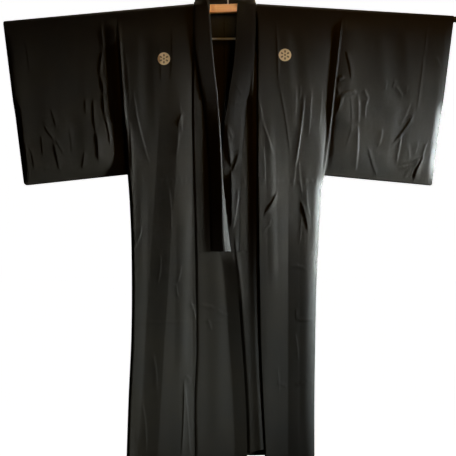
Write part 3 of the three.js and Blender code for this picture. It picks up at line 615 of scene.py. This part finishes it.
def okumi_panel(side):
    """Middle points of one overlap strip, from its pointed top to the hem."""
    sign = SIGN[side]
    drops = np.concatenate([
        np.linspace(OKUMI_TIP_DROP, OKUMI_WIDE_DROP - 1, 130),
        np.linspace(OKUMI_WIDE_DROP, HEM_DROP, 140),
    ])[None, :]
    share = np.linspace(0, 1, OKUMI_COLUMNS)[:, None]
    lift = HEM_LIFT * (1 - smooth(share / 0.6)) if side == "left" else 0 * share
    drop = drops - lift * eased(drops, HEM_DROP - 200, HEM_DROP)
    seam_x = along(FRONT_SEAM[side], drop, "x")
    collar_x = along(COLLAR_SEAM[side], drop, "x") + sign * SEAM_GAP
    edge_x = along(OKUMI_EDGE[side], drop, "x")
    x = mix(seam_x, np.where(drops < OKUMI_WIDE_DROP, collar_x, edge_x), share)
    depth = body_depth(side, x - sign * 0.05, drop, "front")
    if side == "right":
        to_edge = np.clip((edge_x - x) / LAP_WIDTH, 0, 1)
        begun = eased(drop, OKUMI_WIDE_DROP - 20, OKUMI_WIDE_DROP + 40)
        depth = depth + LAP_RISE * (1 - to_edge) * begun
    else:
        depth = depth + crease_heights(COLLAR_CREASES, x, drop)
        under = along(OKUMI_EDGE["right"], drop, "x") + UNDERLAP_MARGIN
        sunk = 1 - np.clip((x - under) / UNDERLAP_MARGIN + 1, 0, 1)
        depth = np.maximum(depth - UNDERLAP_DEPTH * sunk * eased(drop, 850, 960), CLOSED_DEPTH)
    return np.stack([x, -depth, drop], axis=-1)


def sleeve_depth(side, x, drop, share, bottom, face):
    """How far a sleeve's wall stands out: shut along the bottom and the cuff's lower part."""
    length = sleeve_length(side)
    to_bottom = bottom - drop
    from_seam, from_cuff = share * length, (1 - share) * length
    cuff_open = mix(ROLL_RADIUS, CLOSED_DEPTH, eased(drop, 290, 350))
    at_bottom = 1 - quarter_sine(to_bottom / SLEEVE_BOTTOM_ROUNDING)
    low = mix(SLEEVE_FULLNESS, CLOSED_DEPTH, at_bottom)
    off_seam = quarter_sine(from_seam / mix(50, 90, eased(drop, 300, 420)))
    off_cuff = quarter_sine(from_cuff / CUFF_ROUNDING)
    walls = mix(side_depth(drop), mix(cuff_open, low, off_cuff), off_seam)
    shown, at_x = fold_source(side, x, face)
    broad = fold_heights(SLEEVE_FOLDS[shown], at_x, drop)
    broad = broad + slope_heights(SLEEVE_SLOPES[shown], at_x, drop)
    broad = broad * (smooth(share * 14) * smooth((1 - share) * 9) * smooth(to_bottom / 50))
    fine = crease_heights(SLEEVE_CREASES[shown], at_x, drop)
    fine = fine + 0.7 * ripple(x, drop, SLEEVE_RIPPLE_SEED[side])
    fine = fine * (smooth(from_seam / 12) * smooth(from_cuff / 14) * smooth(to_bottom / 16))
    depth = np.minimum(walls, low) + broad + fine + seam_ridge(side, x, drop)
    depth = np.maximum(depth, CLOSED_DEPTH)
    return mix(ROLL_RADIUS, depth, smooth((drop - arm_axis_drop(side, x)) / 60))


def sleeve_length(side):
    return abs(SLEEVE_CUT[side]["cuff_top_x"] - SIDE[side][0]["x"])


def sleeve(side):
    """Middle points of one sleeve, a ring round the arm for each column."""
    cut = SLEEVE_CUT[side]
    length = sleeve_length(side)
    corner = cut["corner"]
    cuff_top_drop = 45
    near_cuff = 1 - corner / length * np.array([0.75, 0.5, 0.3, 0.15, 0.05])
    inner = np.linspace(0, 1 - corner / length, SLEEVE_COLUMNS)
    share = np.concatenate([inner, near_cuff, [1]])[:, None]
    outward = (1 - share) * length
    rounding = corner - np.sqrt(corner**2 - (corner - np.minimum(outward, corner)) ** 2)
    bottom = mix(cut["inside_drop"], cut["cuff_drop"], share) - rounding

    def x_at(drop):
        down = (drop - cuff_top_drop) / (cut["cuff_drop"] - cuff_top_drop)
        cuff = mix(cut["cuff_top_x"], cut["cuff_bottom_x"], down)
        return mix(side_x(side, drop), cuff, share)

    axis = arm_axis_drop(side, x_at(20 + 0 * share))
    row_count = {"front": 130, "back": 80}

    def wall(face, order):
        rows = np.linspace(0, 1, row_count[face])[None, :-1]
        drop = mix(bottom, axis, rows[:, order])
        x = x_at(drop)
        depth = sleeve_depth(side, x, drop, share, bottom, face)
        return np.stack([x, depth if face == "back" else -depth, drop], axis=-1)

    turn = np.radians(np.linspace(0, 180, ROLL_ROWS))[None, :]
    roll_y = -ROLL_RADIUS * np.cos(turn) + 0 * share
    roll = np.stack(np.broadcast_arrays(
        x_at(axis) + 0 * turn, roll_y, axis - ROLL_RADIUS * np.sin(turn),
    ), axis=-1)
    fold = np.stack([x_at(bottom), 0 * share, bottom + CLOSED_DEPTH], axis=-1)
    upward, downward = slice(None), slice(None, None, -1)
    return np.concatenate([wall("front", upward), roll, wall("back", downward), fold], axis=1)


def collar_half_rails(side, end_drop):
    """Seam, crest and free edge of one half: up the front, over the arm and round the back."""
    axis = WALL_IN_SOLID / 2 + ROLL_RADIUS
    reach = SIGN[side] * (NECK_HALF - COLLAR_INSET)
    row_count = int((end_drop - COLLAR_TURN_DROP) / COLLAR_ROW)
    drop = np.linspace(end_drop, COLLAR_TURN_DROP, row_count)
    seam_x = along(COLLAR_SEAM[side], drop, "x") - SIGN[side] * COLLAR_SEAM_GAP
    seam_depth = body_depth(side, seam_x, drop, "front") - seam_groove(side, seam_x, drop)
    seam = np.stack([seam_x, -seam_depth, drop], axis=-1)
    over = np.linspace(0, 180, 40)
    angle = np.radians(over)
    radius = ROLL_RADIUS + 1
    over_seam = np.stack([
        CENTRE_X + reach + 0 * angle, -radius * np.cos(angle), axis - radius * np.sin(angle),
    ], axis=-1)
    behind = np.linspace(180, 270, 26)[1:]
    angle = np.radians(behind - 180)
    x = CENTRE_X + reach * np.cos(angle)
    back_drop = axis + (NECK_SCOOP - COLLAR_INSET / 2) * np.sin(angle)
    back_seam = np.stack([x, body_depth(side, x, back_drop, "back"), back_drop], axis=-1)
    turns = np.concatenate([over, behind])
    rails = [np.concatenate([seam, over_seam, back_seam])]
    for part in ("crest", "edge"):
        front_x = along(COLLAR_FRONT[side], drop, f"{part}_x")
        front_depth = along(COLLAR_FRONT[side], drop, f"{part}_depth")
        front = np.stack([front_x, -front_depth, drop], axis=-1)
        columns = (f"{part}_x", f"{part}_y", f"{part}_drop")
        neck = [along(COLLAR_NECK[side], turns, column, "turn") for column in columns]
        rails.append(np.concatenate([front, np.stack(neck, axis=-1)]))
    return rails


def collar_rails(end_drop):
    """Seam, crest and free edge of the collar, from its right end round the neck."""
    halves = zip(collar_half_rails("right", end_drop), collar_half_rails("left", end_drop))
    return [np.concatenate([right, left[:-1][::-1]]) for right, left in halves]


def collar_band(share, end_drop):
    """Middle points of the collar: up from its seam to a crest, and down to its free edge."""
    seam, crest, edge = (rail[None] for rail in collar_rails(end_drop))
    share = np.asarray(share)[:, None, None]
    to_crest = mix(seam, crest, np.clip(share / CREST_SHARE, 0, 1))
    to_edge = mix(crest, edge, np.clip((share - CREST_SHARE) / (1 - CREST_SHARE), 0, 1))
    band = np.where(share < CREST_SHARE, to_crest, to_edge)
    for _ in range(5):
        band[1:-1] = (band[:-2] + 2 * band[1:-1] + band[2:]) / 4
    for _ in range(6):
        band[:, 1:-1] = (band[:, :-2] + 2 * band[:, 1:-1] + band[:, 2:]) / 4
    on_left = smooth((band[..., 0] - CENTRE_X) / 8)[..., None]
    swell = 2.2 * quarter_sine(share / 0.1) * (1 - smooth(share / 0.6)) * (1 - 0.9 * on_left)
    band = band - surface_normals(band) * swell
    band[..., 1:2] -= crease_heights(COLLAR_CREASES, band[..., 0], band[..., 2])[..., None] * on_left
    return band


def grid_run(grid, ring):
    """Directions along a grid's rows, which join up in a ring."""
    if ring:
        return (np.roll(grid, -1, axis=1) - np.roll(grid, 1, axis=1)) / 2
    return np.gradient(grid, axis=1)


def surface_normals(grid, ring=False):
    """Directions square to a grid's surface, on its front or outer side."""
    normal = np.cross(np.gradient(grid, axis=0), grid_run(grid, ring))
    return normal / np.maximum(np.linalg.norm(normal, axis=-1, keepdims=True), 1e-9)


def wall_faces(across, rows, ring):
    """Quads of both faces of a wall and of its rims."""

    def corner(side, a, b):
        return (side * across + a) * rows + b % rows

    i = np.arange(across - 1)[:, None]
    j = np.arange(rows if ring else rows - 1)[None, :]
    quads = [
        (corner(0, i, j), corner(0, i, j + 1), corner(0, i + 1, j + 1), corner(0, i + 1, j)),
        (corner(1, i, j), corner(1, i + 1, j), corner(1, i + 1, j + 1), corner(1, i, j + 1)),
    ]
    j, last = j[0], across - 1
    quads += [
        (corner(0, 0, j), corner(1, 0, j), corner(1, 0, j + 1), corner(0, 0, j + 1)),
        (corner(0, last, j), corner(0, last, j + 1), corner(1, last, j + 1), corner(1, last, j)),
    ]
    if not ring:
        i, end = i[:, 0], rows - 1
        quads += [
            (corner(0, i, 0), corner(0, i + 1, 0), corner(1, i + 1, 0), corner(1, i, 0)),
            (corner(0, i, end), corner(1, i, end), corner(1, i + 1, end), corner(0, i + 1, end)),
        ]
    return np.concatenate([np.stack(part, axis=-1).reshape(-1, 4) for part in quads])


def flat_cut(grid):
    """Where each grid point lies on the flat cloth, in metres: across, and along the run."""
    step = np.linalg.norm(np.diff(grid[grid.shape[0] // 2], axis=0), axis=-1)
    down = np.concatenate([[0], np.cumsum(step)]) * MM
    return np.stack([grid[..., 0] * MM, np.broadcast_to(down, grid.shape[:2])], axis=-1)


def wall_mesh(name, grid, wall, material, ring=False, to_surface=False):
    """A closed thin wall round a grid of middle points, with the flat cut as its UV map.

    The wall's thickness is one number, or one for each column of the grid.
    """
    if to_surface:
        out = surface_normals(grid, ring)
    else:
        run = grid_run(grid, ring)
        out = np.stack([0 * run[..., 0], -run[..., 2], run[..., 1]], axis=-1)
        out /= np.maximum(np.linalg.norm(out, axis=-1, keepdims=True), 1e-9)
    half = out * np.reshape(wall, (-1, 1, 1)) / 2
    points = np.concatenate([(grid + half).reshape(-1, 3), (grid - half).reshape(-1, 3)]) * MM
    points[:, 2] = SHOULDER_Z * MM - points[:, 2]
    faces = wall_faces(*grid.shape[:2], ring)
    a, b, c = (points[faces[:, k]] for k in range(3))
    if np.einsum("ij,ij->", a, np.cross(b - a, c - a)) < 0:
        faces = faces[:, ::-1]
    mesh = bpy.data.meshes.new(name)
    mesh.from_pydata(points.tolist(), [], faces.tolist())
    flat = np.tile(flat_cut(grid).reshape(-1, 2), (2, 1))
    loops = np.zeros(len(mesh.loops), dtype=np.int32)
    mesh.loops.foreach_get("vertex_index", loops)
    layer = mesh.uv_layers.new(name="cut")
    layer.data.foreach_set("uv", flat[loops].ravel().astype(np.float32))
    return smooth_piece(name, mesh, material, RIM_ANGLE)


def smooth_piece(name, mesh, material, sharp_angle=None):
    """An object of a mesh, shaded smooth but for its edges past the sharp angle."""
    mesh.materials.append(material)
    mesh.update()
    if sharp_angle:
        mesh.polygons.foreach_set("use_smooth", [True] * len(mesh.polygons))
        mesh.set_sharp_from_angle(angle=math.radians(sharp_angle))
    piece = bpy.data.objects.new(name, mesh)
    bpy.context.scene.collection.objects.link(piece)
    return piece


class Value:
    """A shader socket that can be used in an ordinary expression."""

    def __init__(self, shade, socket):
        self.shade = shade
        self.socket = socket

    def __add__(self, other):
        return self.shade.math("ADD", self, other)

    def __sub__(self, other):
        return self.shade.math("SUBTRACT", self, other)

    def __rsub__(self, other):
        return self.shade.math("SUBTRACT", other, self)

    def __mul__(self, other):
        return self.shade.math("MULTIPLY", self, other)

    def __truediv__(self, other):
        return self.shade.math("DIVIDE", self, other)

    __radd__ = __add__
    __rmul__ = __mul__


class Shade:
    """The nodes of one material."""

    def __init__(self, name):
        self.material = bpy.data.materials.new(name)
        self.material.use_nodes = True
        self.tree = self.material.node_tree
        self.tree.nodes.clear()

    def node(self, kind, settings=None, **sockets):
        """A node of a kind, its settings first, then the values or links of its sockets."""
        made = self.tree.nodes.new(f"ShaderNode{kind}")
        for name, value in (settings or {}).items():
            setattr(made, name, value)
        for name, value in sockets.items():
            wanted = name.replace("_", " ")
            self.plug(next(s for s in made.inputs if s.name == wanted and s.enabled), value)
        return made

    def plug(self, socket, value):
        """Links another socket into this one, or sets its plain value."""
        if isinstance(value, Value):
            value = value.socket
        if isinstance(value, bpy.types.NodeSocket):
            self.tree.links.new(value, socket)
        else:
            socket.default_value = value

    def math(self, operation, *values):
        made = self.node("Math", {"operation": operation})
        for socket, value in zip(made.inputs, values):
            self.plug(socket, value)
        return self.value(made)

    def value(self, made, name=None):
        return Value(self, made.outputs[name or 0])

    def step(self, value, low, high):
        """0 below low, 1 above high, and smooth between; the two may be given in reverse."""
        settings = {"interpolation_type": "SMOOTHSTEP"}
        return self.value(self.node("MapRange", settings, Value=value, From_Min=low, From_Max=high))

    def noise(self, vector, scale, detail=2.0, roughness=0.5):
        made = self.node("TexNoise", None, Vector=vector, Scale=scale, Detail=detail, Roughness=roughness)
        return self.value(made, "Fac")

    def bands(self, vector, direction, scale, distortion, **more):
        """Straight bands of a wave texture across one direction."""
        settings = {"wave_type": "BANDS", "bands_direction": direction, **more.pop("settings", {})}
        made = self.node(
            "TexWave", settings, Vector=vector, Scale=scale, Distortion=distortion, **more,
        )
        return self.value(made, "Fac")

    def blend(self, factor, a, b):
        """One colour over another by a factor."""
        made = self.node("Mix", {"data_type": "RGBA"})
        self.plug(made.inputs[0], factor)
        colours = [s for s in made.inputs if s.type == "RGBA"]
        for socket, colour in zip(colours, (a, b)):
            self.plug(socket, colour)
        return Value(self, next(s for s in made.outputs if s.type == "RGBA"))

    def surface(self, **sockets):
        shader = self.node("BsdfPrincipled", None, **sockets)
        self.node("OutputMaterial", None, Surface=shader.outputs[0])
        return shader


def crest_motif(shade, across, down):
    """A generic roundel: a pale disc with a ring of six dark petals and a dark centre.

    Its sizes are shares of the crest's radius.
    """
    petal_middle, petal_radius, petal_squeeze, centre_radius, edge = 0.56, 0.24, 1.5, 0.19, 0.05
    across, down = across / CREST_RADIUS, down / CREST_RADIUS
    reach = shade.math("SQRT", across * across + down * down)
    turn = shade.math("ARCTAN2", down, across)
    sector = math.pi / 3
    folded = shade.math("FLOORED_MODULO", turn, sector) - sector / 2
    petal_x = reach * shade.math("COSINE", folded) - petal_middle
    petal_y = reach * shade.math("SINE", folded) * petal_squeeze
    petal = shade.math("SQRT", petal_x * petal_x + petal_y * petal_y)
    dark = shade.math(
        "MAXIMUM",
        shade.step(petal, petal_radius, petal_radius - edge),
        shade.step(reach, centre_radius, centre_radius - edge),
    )
    return shade.step(reach, 1.02, 0.97), dark


def shaded(tone, share):
    """A colour made darker or lighter, with full cover."""
    return tuple(part * share for part in tone) + (1,)


def silk(name, tone, crests=(), roughness=0.62):
    """Black plain-weave silk: a fine weave, slubs and a low sheen."""
    shade = Shade(name)
    cut = shade.node("UVMap", {"uv_map": "cut"}).outputs[0]
    where = shade.node("TexCoord").outputs["Object"]
    threads = shade.bands(cut, "X", THREAD_SCALE, 1.5)
    picks = shade.bands(cut, "Y", THREAD_SCALE, 1.5)
    stretched = shade.node("Mapping", None, Vector=cut, Scale=(1.0, 0.22, 1.0)).outputs[0]
    slubs = shade.noise(stretched, SLUB_SCALE, 3.0, 0.6)
    cloud = shade.noise(where, CLOUD_SCALE, 3.0, 0.55)
    grain = shade.noise(cut, GRAIN_SCALE, 2.0, 0.5)
    tint = shade.step(cloud * 0.6 + grain * 0.4, 0.3, 0.7)
    colour = shade.blend(tint, shaded(tone, 0.74), shaded(tone, 1.28))
    place = shade.node("SeparateXYZ", None, Vector=where)
    x, z = shade.value(place, "X"), shade.value(place, "Z")
    facing = shade.node("SeparateXYZ", None, Vector=shade.node("NewGeometry").outputs["True Normal"])
    for crest in crests:
        across = x * (1 / MM) - crest["x"]
        down = (SHOULDER_Z - crest["drop"]) - z * (1 / MM)
        disc, marks = crest_motif(shade, across, down)
        outward = 0.3 if crest["face"] == "back" else -0.3
        on_face = shade.step(shade.value(facing, "Y"), 0.0, outward)
        cream = shade.blend(marks * 0.86, CREST_CREAM, CREST_MARKS)
        colour = shade.blend(disc * on_face, colour, cream)
    weave = threads * 0.5 + picks * 0.5 + slubs * 0.9
    bump = shade.node("Bump", None, Height=weave, Strength=0.35, Distance=0.0004)
    shine = roughness + (grain - 0.5) * 0.12
    shader = shade.surface(Base_Color=colour, Roughness=shine, Normal=bump.outputs[0])
    shader.inputs["Specular IOR Level"].default_value = 0.22
    shader.inputs["Sheen Weight"].default_value = 0.05
    shader.inputs["Sheen Roughness"].default_value = 0.4
    shader.inputs["Sheen Tint"].default_value = (0.9, 0.87, 0.82, 1)
    return shade.material


def lacquered_wood():
    shade = Shade("lacquered_wood")
    where = shade.node("TexCoord").outputs["Object"]
    drawn = shade.node("Mapping", None, Vector=where, Scale=(2.2, 30.0, 30.0)).outputs[0]
    rings = shade.bands(
        drawn, "Z", 2.6, 5.5, settings={"wave_profile": "SAW"}, Detail=3.0,
    )
    pores = shade.noise(drawn, 26.0, 3.0, 0.6)
    grain = shade.step(rings * 0.7 + pores * 0.3, 0.1, 0.9)
    colour = shade.blend(grain, (0.66, 0.24, 0.05, 1), (0.92, 0.44, 0.12, 1))
    bump = shade.node("Bump", None, Height=pores, Strength=0.12, Distance=0.0005)
    shader = shade.surface(Base_Color=colour, Roughness=0.3 + grain * 0.12, Normal=bump.outputs[0])
    shader.inputs["Coat Weight"].default_value = 0.35
    shader.inputs["Coat Roughness"].default_value = 0.2
    return shade.material


def metal(name, colour, roughness, metallic=1.0):
    shade = Shade(name)
    where = shade.node("TexCoord").outputs["Object"]
    drawn = shade.node("Mapping", None, Vector=where, Scale=(0.4, 1.0, 1.0)).outputs[0]
    wear = shade.noise(drawn, 180.0, 3.0, 0.6)
    shown = shade.blend(wear, shaded(colour, 0.75), shaded(colour, 1))
    bump = shade.node("Bump", None, Height=wear, Strength=0.08, Distance=0.0003)
    shader = shade.surface(Base_Color=shown, Roughness=roughness + wear * 0.14, Normal=bump.outputs[0])
    shader.inputs["Metallic"].default_value = metallic
    return shade.material


def bar_z(x):
    return BAR_MIDDLE_Z + BAR_TILT * x


def arm_point(side, x):
    return np.array([x, 0, SHOULDER_Z - arm_axis_drop(side, x)])


def tube_faces(rings, sides):
    """Quads between the rings of a round piece, and a flat cap at each end."""
    faces = []
    for k in range(rings - 1):
        for s in range(sides):
            t = (s + 1) % sides
            faces.append((k * sides + s, k * sides + t, (k + 1) * sides + t, (k + 1) * sides + s))
    faces.append(tuple(range(sides))[::-1])
    faces.append(tuple(range((rings - 1) * sides, rings * sides)))
    return faces


def plain_mesh(name, points, faces, material, sharp_angle=None):
    mesh = bpy.data.meshes.new(name)
    mesh.from_pydata([tuple(point) for point in points], [], faces)
    return smooth_piece(name, mesh, material, sharp_angle)


def lathe_mesh(name, start, end, profile, material, sides=48):
    """A turned piece from one point towards another; profile rows are a distance and radius."""
    line = (end - start) / np.linalg.norm(end - start)
    first = np.cross(line, [0, 1, 0])
    first /= np.linalg.norm(first)
    second = np.cross(line, first)
    turn = np.linspace(0, 2 * np.pi, sides, endpoint=False)
    ring = np.cos(turn)[:, None] * first + np.sin(turn)[:, None] * second
    points = []
    for place, radius in profile:
        points += list((start + line * place + ring * radius) * MM)
    return plain_mesh(name, points, tube_faces(len(profile), sides), material, TURNED_ANGLE)


def hanger_arm(side):
    """One round arm, from inside the bar's socket to its rounded tip."""
    start = arm_point(side, SIGN[side] * SOCKET_INNER_X)
    end = arm_point(side, ARM_END_X[side])
    length = float(np.linalg.norm(end - start))
    tip = 2.5
    profile = [(0, ARM_RADIUS)]
    for angle in np.radians(np.linspace(0, 90, 7)):
        place = length - tip + tip * math.sin(angle)
        profile.append((place, ARM_RADIUS - tip + tip * math.cos(angle)))
    dark_pipe = metal("dark_pipe", (0.05, 0.044, 0.038), 0.38, 0.4)
    return lathe_mesh(f"hanger_arm_{side}_pipe", start, end, profile, dark_pipe)


def hanger_bar():
    """The bar's outline drawn through its depth, with its edges rounded over."""
    half, end = BAR_HEIGHT / 2, BAR_HALF_LENGTH
    boss_wall, boss_start, boss_slope, boss_lift, rounded = 1.4, 61, 3, 0.5, 2.2
    top = {
        side: arm_point(side, SIGN[side] * end)[2] + ARM_RADIUS + boss_wall for side in SIGN
    }
    outline = [
        (-end, bar_z(-end) - half), (end, bar_z(end) - half),
        (end, top["left"]), (boss_start + boss_slope, top["left"] + boss_lift),
        (boss_start - boss_slope, bar_z(boss_start) + half),
        (-boss_start + boss_slope, bar_z(-boss_start) + half),
        (-boss_start - boss_slope, top["right"] + boss_lift), (-end, top["right"]),
    ]
    count = len(outline)
    points = [(x * MM, y * MM, z * MM) for y in (-BAR_DEPTH / 2, BAR_DEPTH / 2) for x, z in outline]
    faces = [tuple(range(count)), tuple(range(count, 2 * count))[::-1]]
    faces += [(k, k + count, (k + 1) % count + count, (k + 1) % count) for k in range(count)]
    piece = plain_mesh("hanger_bar_wood", points, faces, lacquered_wood())
    rounding = piece.modifiers.new("rounded edges", "BEVEL")
    rounding.width = rounded * MM
    rounding.segments = 4
    return piece


def swept_wire(name, points, radius, material, sides=20):
    """A round wire along points in the hanger's plane."""
    path = np.array(points, float)
    run = np.gradient(path, axis=0)
    run /= np.linalg.norm(run, axis=1, keepdims=True)
    side_way = np.array([0.0, 1.0, 0.0])
    turn = np.linspace(0, 2 * np.pi, sides, endpoint=False)
    rows = []
    for point, line in zip(path, run):
        across = np.cross(line, side_way)
        ring = np.cos(turn)[:, None] * side_way + np.sin(turn)[:, None] * across
        rows.append(point + radius * ring)
    points = np.concatenate(rows) * MM
    return plain_mesh(name, points, tube_faces(len(path), sides), material, TURNED_ANGLE)


def arc(x, z, radius, start, end, count):
    """Points in the hanger's plane, turning from a start to an end in degrees."""
    turn = np.radians(np.linspace(start, end, count))
    return [(x + radius * math.cos(a), 0, z + radius * math.sin(a)) for a in turn]


def hanger_hook(material):
    """A stem from the bar's top, bent aside and over into the round hook."""
    radius = HOOK_INNER_RADIUS + HOOK_WIRE_RADIUS
    stem_z = bar_z(0) + BAR_HEIGHT / 2 + SEAM_GAP
    points = [(0, 0, z) for z in np.linspace(stem_z, -46, 8)]
    bend = [(0.4, 0, -41), (2.0, 0, -35.5), (5.4, 0, -30.2), (9.6, 0, -26.3)]
    points += bend + arc(0, -HOOK_INNER_RADIUS, radius, -30, 210, 40)
    return swept_wire("hanger_hook_wire", points, HOOK_WIRE_RADIUS, material)


def obi_rod(material):
    """The thin rod under the bar: down from one end, across, and up to the other."""
    corner, end = 10, OBI_ROD_HALF_LENGTH

    def under(x):
        return bar_z(x) - BAR_HEIGHT / 2 - SEAM_GAP

    rod_z = bar_z(0) - OBI_ROD_DROP + BAR_HEIGHT / 2
    points = [(-end, 0, z) for z in np.linspace(under(-end), rod_z + corner + 1, 8)]
    points += arc(-end + corner, rod_z + corner, corner, 180, 270, 10)
    points += [(x, 0, rod_z) for x in np.linspace(-end + corner + 1, end - corner - 1, 12)]
    points += arc(end - corner, rod_z + corner, corner, 270, 360, 10)
    points += [(end, 0, z) for z in np.linspace(rod_z + corner + 1, under(end), 8)]
    return swept_wire("hanger_obi_rod_wire", points, OBI_ROD_RADIUS, material)


def finish_piece(piece, node):
    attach(piece, "root")
    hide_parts(node)


silk_front = silk("black_silk_body", BODY_TONE, CRESTS["body"])
silk_sleeve = silk("black_silk_sleeve", BODY_TONE, CRESTS["sleeve"])
silk_plain = silk("black_silk", BODY_TONE)
# The collar and over-collar get the darker tone. This is painted shade on the same black silk.
collar_silk_with_painted_shade = silk("black_collar_silk_painted_shade", COLLAR_TONE_WITH_PAINTED_SHADE)

for side in ("right", "left"):
    panel = wall_mesh(f"body_{side}_cloth", body_panel(side), CLOTH, silk_front)
    finish_piece(panel, f"body_{side}")
    strip = wall_mesh(f"okumi_{side}_cloth", okumi_panel(side), CLOTH, silk_plain)
    finish_piece(strip, f"okumi_{side}")
    tube = wall_mesh(f"sleeve_{side}_cloth", sleeve(side), CLOTH, silk_sleeve, ring=True)
    finish_piece(tube, f"sleeve_{side}")

# The collar is thick in its middle and thin at its seam and free edge
COLLAR_TAPER = 0.2
collar_shares = np.concatenate([[0, 0.03, 0.06, 0.09], np.linspace(0.12, 1, 27)])
thick = smooth(collar_shares / COLLAR_TAPER) * smooth((1 - collar_shares) / COLLAR_TAPER)
collar = wall_mesh(
    "collar_band", collar_band(collar_shares, COLLAR_END_DROP), mix(CLOTH, COLLAR_CLOTH, thick),
    collar_silk_with_painted_shade, to_surface=True,
)
finish_piece(collar, "collar")

over_shares = np.concatenate([[0.05, 0.08, 0.11], np.linspace(0.14, 0.985, 28)])
over = collar_band(over_shares, OVER_COLLAR_DROP)
under_wall = mix(CLOTH, COLLAR_CLOTH, smooth(over_shares / COLLAR_TAPER))[:, None, None]
over = over - surface_normals(over) * (under_wall + OVER_COLLAR_GAP + OVER_COLLAR_CLOTH) / 2
over_collar = wall_mesh("over_collar_band", over, OVER_COLLAR_CLOTH, collar_silk_with_painted_shade, to_surface=True)
finish_piece(over_collar, "over_collar")


steel = metal("satin_steel", (0.72, 0.72, 0.71), 0.3, 0.6)
finish_piece(hanger_bar(), "hanger_bar")
for side in ("right", "left"):
    finish_piece(hanger_arm(side), f"hanger_arm_{side}")
finish_piece(hanger_hook(steel), "hanger_hook")
finish_piece(obi_rod(steel), "hanger_obi_rod")


# Lamps, in metres: the far ones shine along the front, and again mirrored along the back
LAMP_COLUMNS = "name place aim size power colour spread"
FAR_LAMPS = table(LAMP_COLUMNS, [
    ("low_side", (3.2, -0.7, -1.0), (0.2, 0, -1.08), (0.3, 0.3), 1.35, (0.84, 0.97, 1.0), 18),
    ("sunny_side", (3.0, -0.62, -0.58), (0.25, 0, -0.62), (0.3, 0.3), 6.9, (0.87, 0.97, 1.0), 19),
    ("low_left", (1.0, -0.85, -1.35), (-0.42, 0, -1.27), (0.3, 0.5), 2.5, (0.82, 0.95, 1.0), 36),
    ("warm_top", (1.0, -1.4, 0.6), (0.2, 0, -0.3), (0.6, 0.4), 2.7, (1.0, 0.44, 0.01), 120),
])
NEAR_LAMPS = table(LAMP_COLUMNS, [
    ("bar_light", (0.15, -1.3, 0.35), (0, 0, -0.105), (0.1, 0.06), 0.017, (1.0, 0.9, 0.62), 8),
    ("overhead", (0, 0.05, 0.9), (0, 0, -0.1), (1.0, 0.04), 1.0, (1.0, 0.85, 0.6), 50),
])


def lamp(row, name_end="", way=1):
    """A lamp of a table's row; a way of -1 mirrors its place to the back."""
    name = row["name"] + name_end
    x, y, z = row["place"]
    light = bpy.data.lights.new(name, "AREA")
    light.shape = "RECTANGLE"
    light.size, light.size_y = row["size"]
    light.energy = row["power"]
    light.color = row["colour"]
    light.spread = math.radians(row["spread"])
    holder = bpy.data.objects.new(name, light)
    holder.location = (x, y * way, z)
    towards = Vector(row["aim"]) - Vector((x, y * way, z))
    holder.rotation_euler = towards.to_track_quat("-Z", "Y").to_euler()
    holder.visible_camera = False
    bpy.context.scene.collection.objects.link(holder)


def pale_room():
    """A closed room that only the camera sees, evenly white but for a painted shadow darkening the
    floor's middle.
    """
    floor_z, top_z, half = -1.62, 12.0, 14.0
    painted_shadow_reach, clear_reach = 0.1, 0.66
    points = [(x, y, z) for z in (floor_z, top_z) for y in (-half, half) for x in (-half, half)]
    faces = [(0, 1, 3, 2), (4, 6, 7, 5), (0, 4, 5, 1), (2, 3, 7, 6), (0, 2, 6, 4), (1, 5, 7, 3)]
    shade = Shade("pale_room")
    place = shade.node("SeparateXYZ", None, Vector=shade.node("TexCoord").outputs["Object"])
    x, y = shade.value(place, "X"), shade.value(place, "Y")
    reach = shade.math("SQRT", x * x + y * y)
    # Painted shadow: the glow is greyer near the middle, under the garment, and white from the clear
    # reach out.
    clear = shade.step(reach, painted_shadow_reach, clear_reach)
    glow_and_painted_shadow = shade.blend(clear, (0.8, 0.8, 0.79, 1), (1, 1, 1, 1))
    shade.surface(
        Base_Color=(0.8, 0.8, 0.8, 1), Roughness=0.9, Emission_Color=glow_and_painted_shadow, Emission_Strength=1.0,
    )
    room = plain_mesh("room", points, faces, shade.material)
    room.visible_diffuse = False
    room.visible_glossy = False
    room.visible_shadow = False


def dim_sky():
    world = bpy.data.worlds.new("studio")
    bpy.context.scene.world = world
    world.use_nodes = True
    background = world.node_tree.nodes["Background"]
    background.inputs["Color"].default_value = (1.0, 0.6, 0.26, 1)
    background.inputs["Strength"].default_value = 0.005


def camera():
    """Straight on from the front, at the distance where the garment fills the photo's frame."""
    distance = 3.2
    cloth_front = 0.017
    frame_width = 1.386
    frame_middle_z = -0.7815
    data = bpy.data.cameras.new("camera")
    data.sensor_width = 36
    data.lens = data.sensor_width * (distance - cloth_front) / frame_width
    holder = bpy.data.objects.new("camera", data)
    holder.location = (0, -distance, frame_middle_z)
    holder.rotation_euler = (math.pi / 2, 0, 0)
    bpy.context.scene.collection.objects.link(holder)
    bpy.context.scene.camera = holder


pale_room()
dim_sky()
for face, way in (("front", 1), ("back", -1)):
    for row in FAR_LAMPS:
        lamp(row, f"_{face}", way)
for row in NEAR_LAMPS:
    lamp(row)
camera()
bpy.context.scene.view_settings.view_transform = "Standard"
